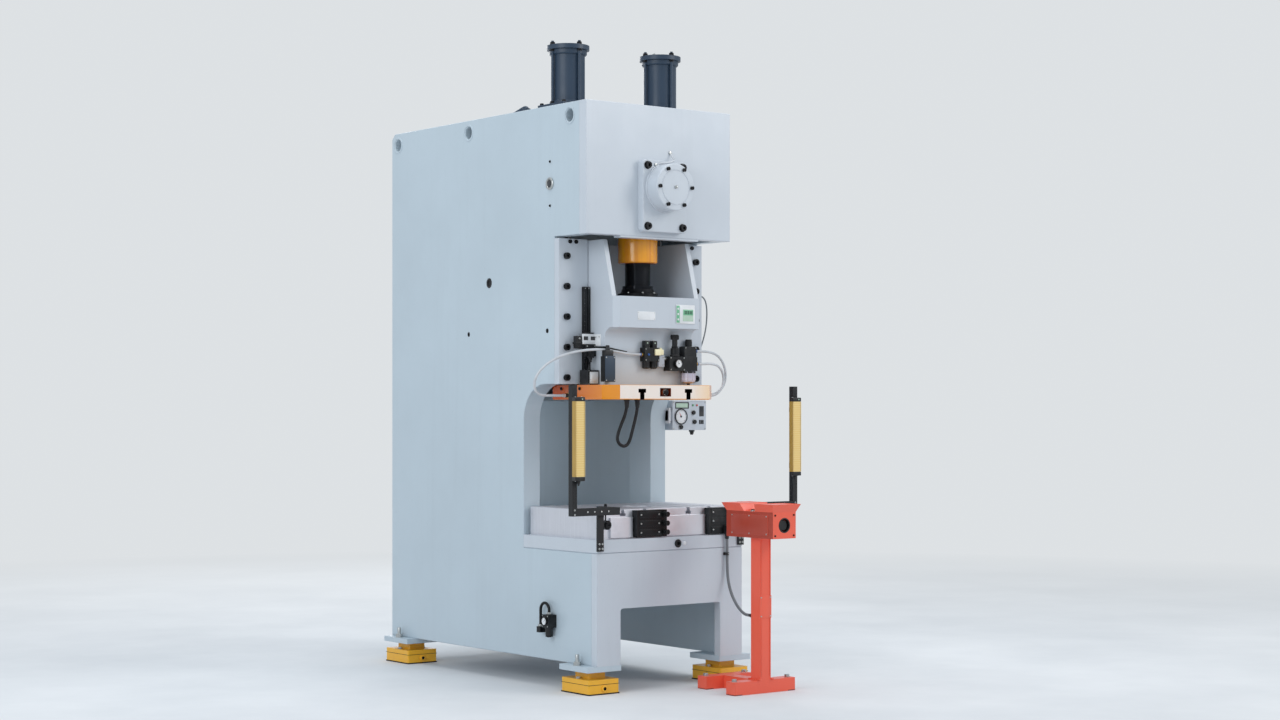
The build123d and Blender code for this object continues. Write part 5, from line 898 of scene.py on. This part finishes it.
# Light curtains: end caps, window rails, brackets, cable glands; post and arm bolts, strips on the post
for side, hand in SIDES:
    p = Parts()
    cx = side * 745
    px = side * 759
    p.box(BLACK, (cx, -892.15, (1154, 1566)), (59.8, 31.3, 22), 3)
    for z, end in ((1143, DOWN), (1577, UP)):
        p.screw("zinc", ((cx - 20, cx + 20), -890, z), end, 3.2, 2.2)
    p.box("curtain_yellow", ((cx - 27.8, cx + 27.8), -906.2, 1360), (4.2, 2.4, 388), 0.6)
    p.box(ALLOY, ((px - 7, px + 7), -874.8, 1315), (2.4, 1.6, 610))
    p.turn("display", (cx + 12, -907.6, 1566), FRONT, [(3.5, -0.3), (3.5, 1), (0, 1.8)], 16)
    clamps = (1200, 1510)
    p.box(ALLOY, (side * 730.25, -873.25, clamps), (26.5, 4.5, 28), 0.8)
    p.box(ALLOY, (side * 741.25, -860.75, clamps), (4.5, 29.5, 28), 0.8)
    p.screw("zinc", (side * 728, -871, clamps), BACK, 4.5, 3)
    p.screw("zinc", (side * 739, -858, clamps), (-side, 0, 0), 4.5, 3)
    p.hexagon(BLACK, (cx, -890, 1144), DOWN, 18, 8)
    p.turn(BLACK, (cx, -890, 1136), DOWN, [(7.5, 0), (7.5, 6), (5, 12), (4, 18), (0, 18)], 24)
    p.box(BLACK, (px, -859, 1637.5), (31.6, 32, 3), 1)
    p.screw("zinc", (px, POST, (968, 992)), FRONT, 5, 4)
    p.screw("zinc", ((side * 475, side * 495), -732, (775, 800)), FRONT, 6, 5)
    p.box(ALLOY, (side * 485, -733, 950), (40, 3, 20), 1)
    for k in range(4):
        p.turn("zinc", (side * (540 + k * 45), POST, 980), FRONT, [(4.5, -0.3), (4.5, 1.2), (3, 2), (0, 2)], 18)
    p.piece("curtain_trim_" + hand, "black_paint")

# Two-hand stand: pocket rims, collar, hood rims, lamps, cover screws, base bolts and a rear cover
p = Parts()
for end, y in ((-1, -1340), (1, -960)):
    p.turn(BLACK, (270, y, 900), (0, end, 0), [(33.8, -20), (33.8, 1), (38, 1.5), (40, 0.5), (40.5, -1)], 56)
    p.box(RED, ((174.2, 365.8), y - end * 55, 1010.15), (4, 149.6, 3.3), 1)
    p.box(RED, (270, (y + end * 17.8, y - end * 127.8), 1010.15), (192, 4, 3.3), 1)
    p.screw(OXIDE, ((205, 335), y, (846, 954)), (0, end, 0), 5, 4)
p.turn("yellow_plastic", (270, -1150, 970), UP, [
    (30.1, -0.5), (33, 0.5), (33, 8), (30.5, 10.5), (22.6, 10.5), (21.5, 8),
], 56)
p.turn("zinc", ((213, 327), -1150, 970), UP, [(14, -0.5), (14, 3), (12, 4.5), (10, 4.5)])
p.turn(BLACK, ((213, 327), -1150, 970), UP, [(9.8, 2), (9.5, 9), (8, 10.5), (0, 10.5)])
p.box(RED, ((188.75, 351.25), -1150, 900), (2.5, 300, 108), 1)
for x, side in ((187.5, -1), (352.5, 1)):
    p.screw("zinc", (x, (-1290, -1150, -1010), (853, 947)), (side, 0, 0), 3.8, 3)
p.box(RED, ((226, 314), (-1194, -1106), 74), (13, 13, 8), 1)
for y, feet in ((-1150, (85, 455)), (-850, (135, 405))):
    p.bolt("zinc", (feet, y, 70), UP, 24, 14)
    p.box("black_rubber", (feet, y, 2.5), (50, 75.2, 5), 1)
p.box(RED, ((240, 300), -1189, 455), (3, 3, 730), 0.3)
p.block(RED, (230, -1190, 400), (310, -1187.5, 520), 0.8)
p.screw("zinc", ((238, 302), -1190, (410, 510)), FRONT, 3.8, 3)
p.piece("stand_trim", "stand_red")

# Lower air unit: knob, gauge, bowl tip, fittings and mounting screws
p = Parts()
ux, uy, uz = -527.5, -320, 365
p.turn(BLACK, (ux, uy, 280), UP, [(0, -4), (12, -3), (18.5, 2), (20.6, 8), (20.6, 50)], 40)
p.turn(BLACK, (ux, uy, 322), UP, [(20.3, 0), (23.5, 1), (23.5, 8), (20.3, 8.5)], 40)
p.turn(BLACK, (-555, uy, uz), LEFT, [(21, -0.5), (22, 2), (22, 9), (20.5, 10.5), (19.5, 9.5), (19.5, 8.5)], 44)
p.turn(WHITE, (-555, uy, uz), LEFT, [(19.6, 8.4), (0, 8.6)], 44)
for k in range(11):
    a = math.radians(225 - k * 27)
    y, z = uy - 16.5 * math.cos(a), uz + 16.5 * math.sin(a)
    p.box(BLACK, (-563.75, y, z), (0.7, 1.6, 1.6))
p.tube(OXIDE, [(-564.3, uy, uz), (-564.3, uy - 5, uz + 5), (-564.3, uy - 10, uz + 10)], 0.6, 6)
p.hexagon("zinc", (ux, uy, 400), UP, 26, 12)
p.hexagon("zinc", (ux, -240, 330), UP, 26, 12)
p.screw("zinc", (-555, (-344, -296), (337, 393)), LEFT, 3, 2.2)
p.piece("air_unit_trim", "black_plastic")

# Rear guard: screws and louvres; bolts of the lower plate
p = Parts()
for k in range(8):
    p.screw("zinc", ((-420, 420), REAR, 1620 + k * 201.4), BACK, 6, 3)
p.screw("zinc", ((-280, -140, 0, 140, 280), REAR, (1615, 3035)), BACK, 6, 3)
p.bolt(OXIDE, ((-385, 385), 1330, (350, 600, 850)), BACK, 24, 14)
blade, heights = [(-4, 7.5), (-4, 5.7), (2.6, -6.2), (2.6, -4.4)], tuple(range(1755, 2990, 95))
p.prism("frame_paint", ((-338, -88, 162), REAR, heights), RIGHT, blade, 176)
p.piece("rear_trim", "frame_paint")

# Motor: end shields, fan grille, screws, terminal box lid and gland
p = Parts()
p.turn("motor_paint", (0, 1085, MOTOR), BACK, [
    (140, 0), (153.5, 0), (153.5, 45), (149, 53), (140, 54.9), (60, 54.9),
], 72)
for k in range(4):
    r = 70 + k * 18
    p.turn(BLACK, (0, 1139.5, MOTOR), BACK, [(r, 0), (r, 1.2), (r + 6, 1.2), (r + 6, 0)], 56)
p.turn("motor_paint", (0, 780, MOTOR), BACK, [
    (60, 0.5), (125, 0.5), (145, 6), (147.5, 18), (147.5, 24), (141, 26),
], 72)
for u, v in circle(4, 1, 0, 0, math.pi / 4):
    p.bolt("zinc", (118 * u, 781.5, MOTOR + 118 * v), FRONT, 14, 6)
    p.screw("zinc", (153.5 * u, 1110, MOTOR + 153.5 * v), (u, 0, v), 5, 3)
p.block("motor_paint", (208, 872, 1758), (213.5, 1016, 1902), 2)
p.screw("zinc", (213.5, (882, 1006), (1768, 1892)), RIGHT, 5, 3)
p.gland(175, 944, MOTOR)
p.piece("motor_trim", "motor_paint")

# Cabinet door: vent grille, main switch on its plate, lamps, bare plate, folded edges
p = Parts()
p.box(BLACK, (722.5, 680, tuple(range(1193, 1290, 16))), (0.6, 160, 6))
p.box("frame_paint", (723.85, 680, tuple(1197.25 + 16 * k for k in range(7))), (3.3, 160, 2.5), 0.5)
p.block("yellow_plastic", (722.3, 640, 1680), (724.5, 720, 1760), 2)
p.turn(BLACK, (724.5, 680, 1720), RIGHT, [(26, 0), (26, 4), (21, 6), (0, 6)], 40)
p.block("stop_red", (730.5, 672.5, 1697), (748.5, 687.5, 1743), 3)
for y, lamp_paint in ((520, "white_plastic"), (565, "green_plastic"), (610, "yellow_plastic")):
    p.turn("zinc", (722.3, y, 1820), RIGHT, [(14.5, 0), (14.5, 3), (12.5, 4.5), (11, 4.5)])
    p.turn(lamp_paint, (722.3, y, 1820), RIGHT, [(11.2, 3), (11.2, 9), (9, 12.5), (0, 13.5)])
p.block(GLASS, (722.2, 680, 1800), (724, 800, 1850), 0.8)
p.box("frame_paint", (722.9, 679.85, (1112, 1888)), (1.2, 575.7, 4), 0.4)
p.piece("door_trim", "frame_paint", "door")

# Cabinet shell: rain lip, hinge straps, cable glands
p = Parts()
p.block("frame_paint", (500, 372, 1900.5), (712, 979, 1906), 1.5)
p.box("frame_paint", (501.25, (420, 940), (1084.5, 1915.5)), (3.5, 40, 29), 0.5)
p.screw("zinc", (503, (420, 940), (1084, 1916)), RIGHT, 6.5, 5)
p.gland((550, 600, 650), 500, 1100)
p.piece("cabinet_trim", "frame_paint")

# Camera, floor and light
scene.view_settings.view_transform = "Standard"
lens = bpy.data.cameras.new("camera")
lens.lens = 62
lens.shift_y = 0.036
lens.clip_end = 200
scene.camera = add("camera", lens)
scene.camera.location = (-7.43, -10.09, 1.53)
scene.camera.rotation_euler = (math.pi / 2, 0, math.radians(-37.6))

GLOW = srgb(232, 236, 239)      # the pale wall that the camera sees
DARK = (0, 0, 0, 1)
scene.world = bpy.data.worlds.new("world")
sky = Tree(scene.world)
wall = sky.mix(sky.node("ShaderNodeLightPath").outputs["Is Camera Ray"], srgb(206, 214, 222), GLOW)
glare = sky.node("ShaderNodeBackground", Strength=0.9, Color=wall)
sky.node("ShaderNodeOutputWorld", Surface=glare.outputs[0])

# The floor turns into the wall's glow between 2.5 and 11 m from the press
floor_mesh = bpy.data.meshes.new("floor")
floor_mesh.from_pydata([(-60, -60, 0), (60, -60, 0), (60, 60, 0), (-60, 60, 0)], [], [(0, 1, 2, 3)])
floor = add("floor", floor_mesh)
s = Shader("floor", IOR=1.0, Emission_Strength=0.9)
tone = s.mix(s.clouds(0.6, 5, 0.6), srgb(206, 209, 212), srgb(222, 224, 226))
reach = s.node("ShaderNodeVectorMath", {"operation": "LENGTH"})
s.put(reach.inputs[0], s.coords)
far = s.span(reach.outputs["Value"], 2.5, 11.0)
roughness = s.clouds(3, 4, 0.55, 0.3, 0.7, 0.5, 0.65)
floor_paint = s.finish(s.mix(far, tone, DARK), roughness, Emission_Color=s.mix(far, DARK, GLOW))
floor_mesh.materials.append(floor_paint)


def lamp(name, at, aim, size, power, color=(1, 1, 1)):
    light = bpy.data.lights.new(name, "AREA")
    light.shape = "RECTANGLE"
    light.size, light.size_y = size
    light.energy = power
    light.color = color
    holder = add(name, light)
    holder.location = at
    holder.rotation_euler = (Vector(aim) - Vector(at)).to_track_quat("-Z", "Y").to_euler()


lamp("key", (5.5, -7.5, 6.0), (0, 0, 1.7), (4, 4), 240, (1.0, 0.985, 0.96))
lamp("left", (-8.0, -2.5, 4.5), (0, 0, 1.6), (5, 4), 210, (0.93, 0.97, 1.0))
lamp("top", (0, 0, 8.0), (0, 0, 0), (6, 6), 235)
lamp("back", (3, 9, 5.0), (0, 0, 1.8), (5, 4), 260)
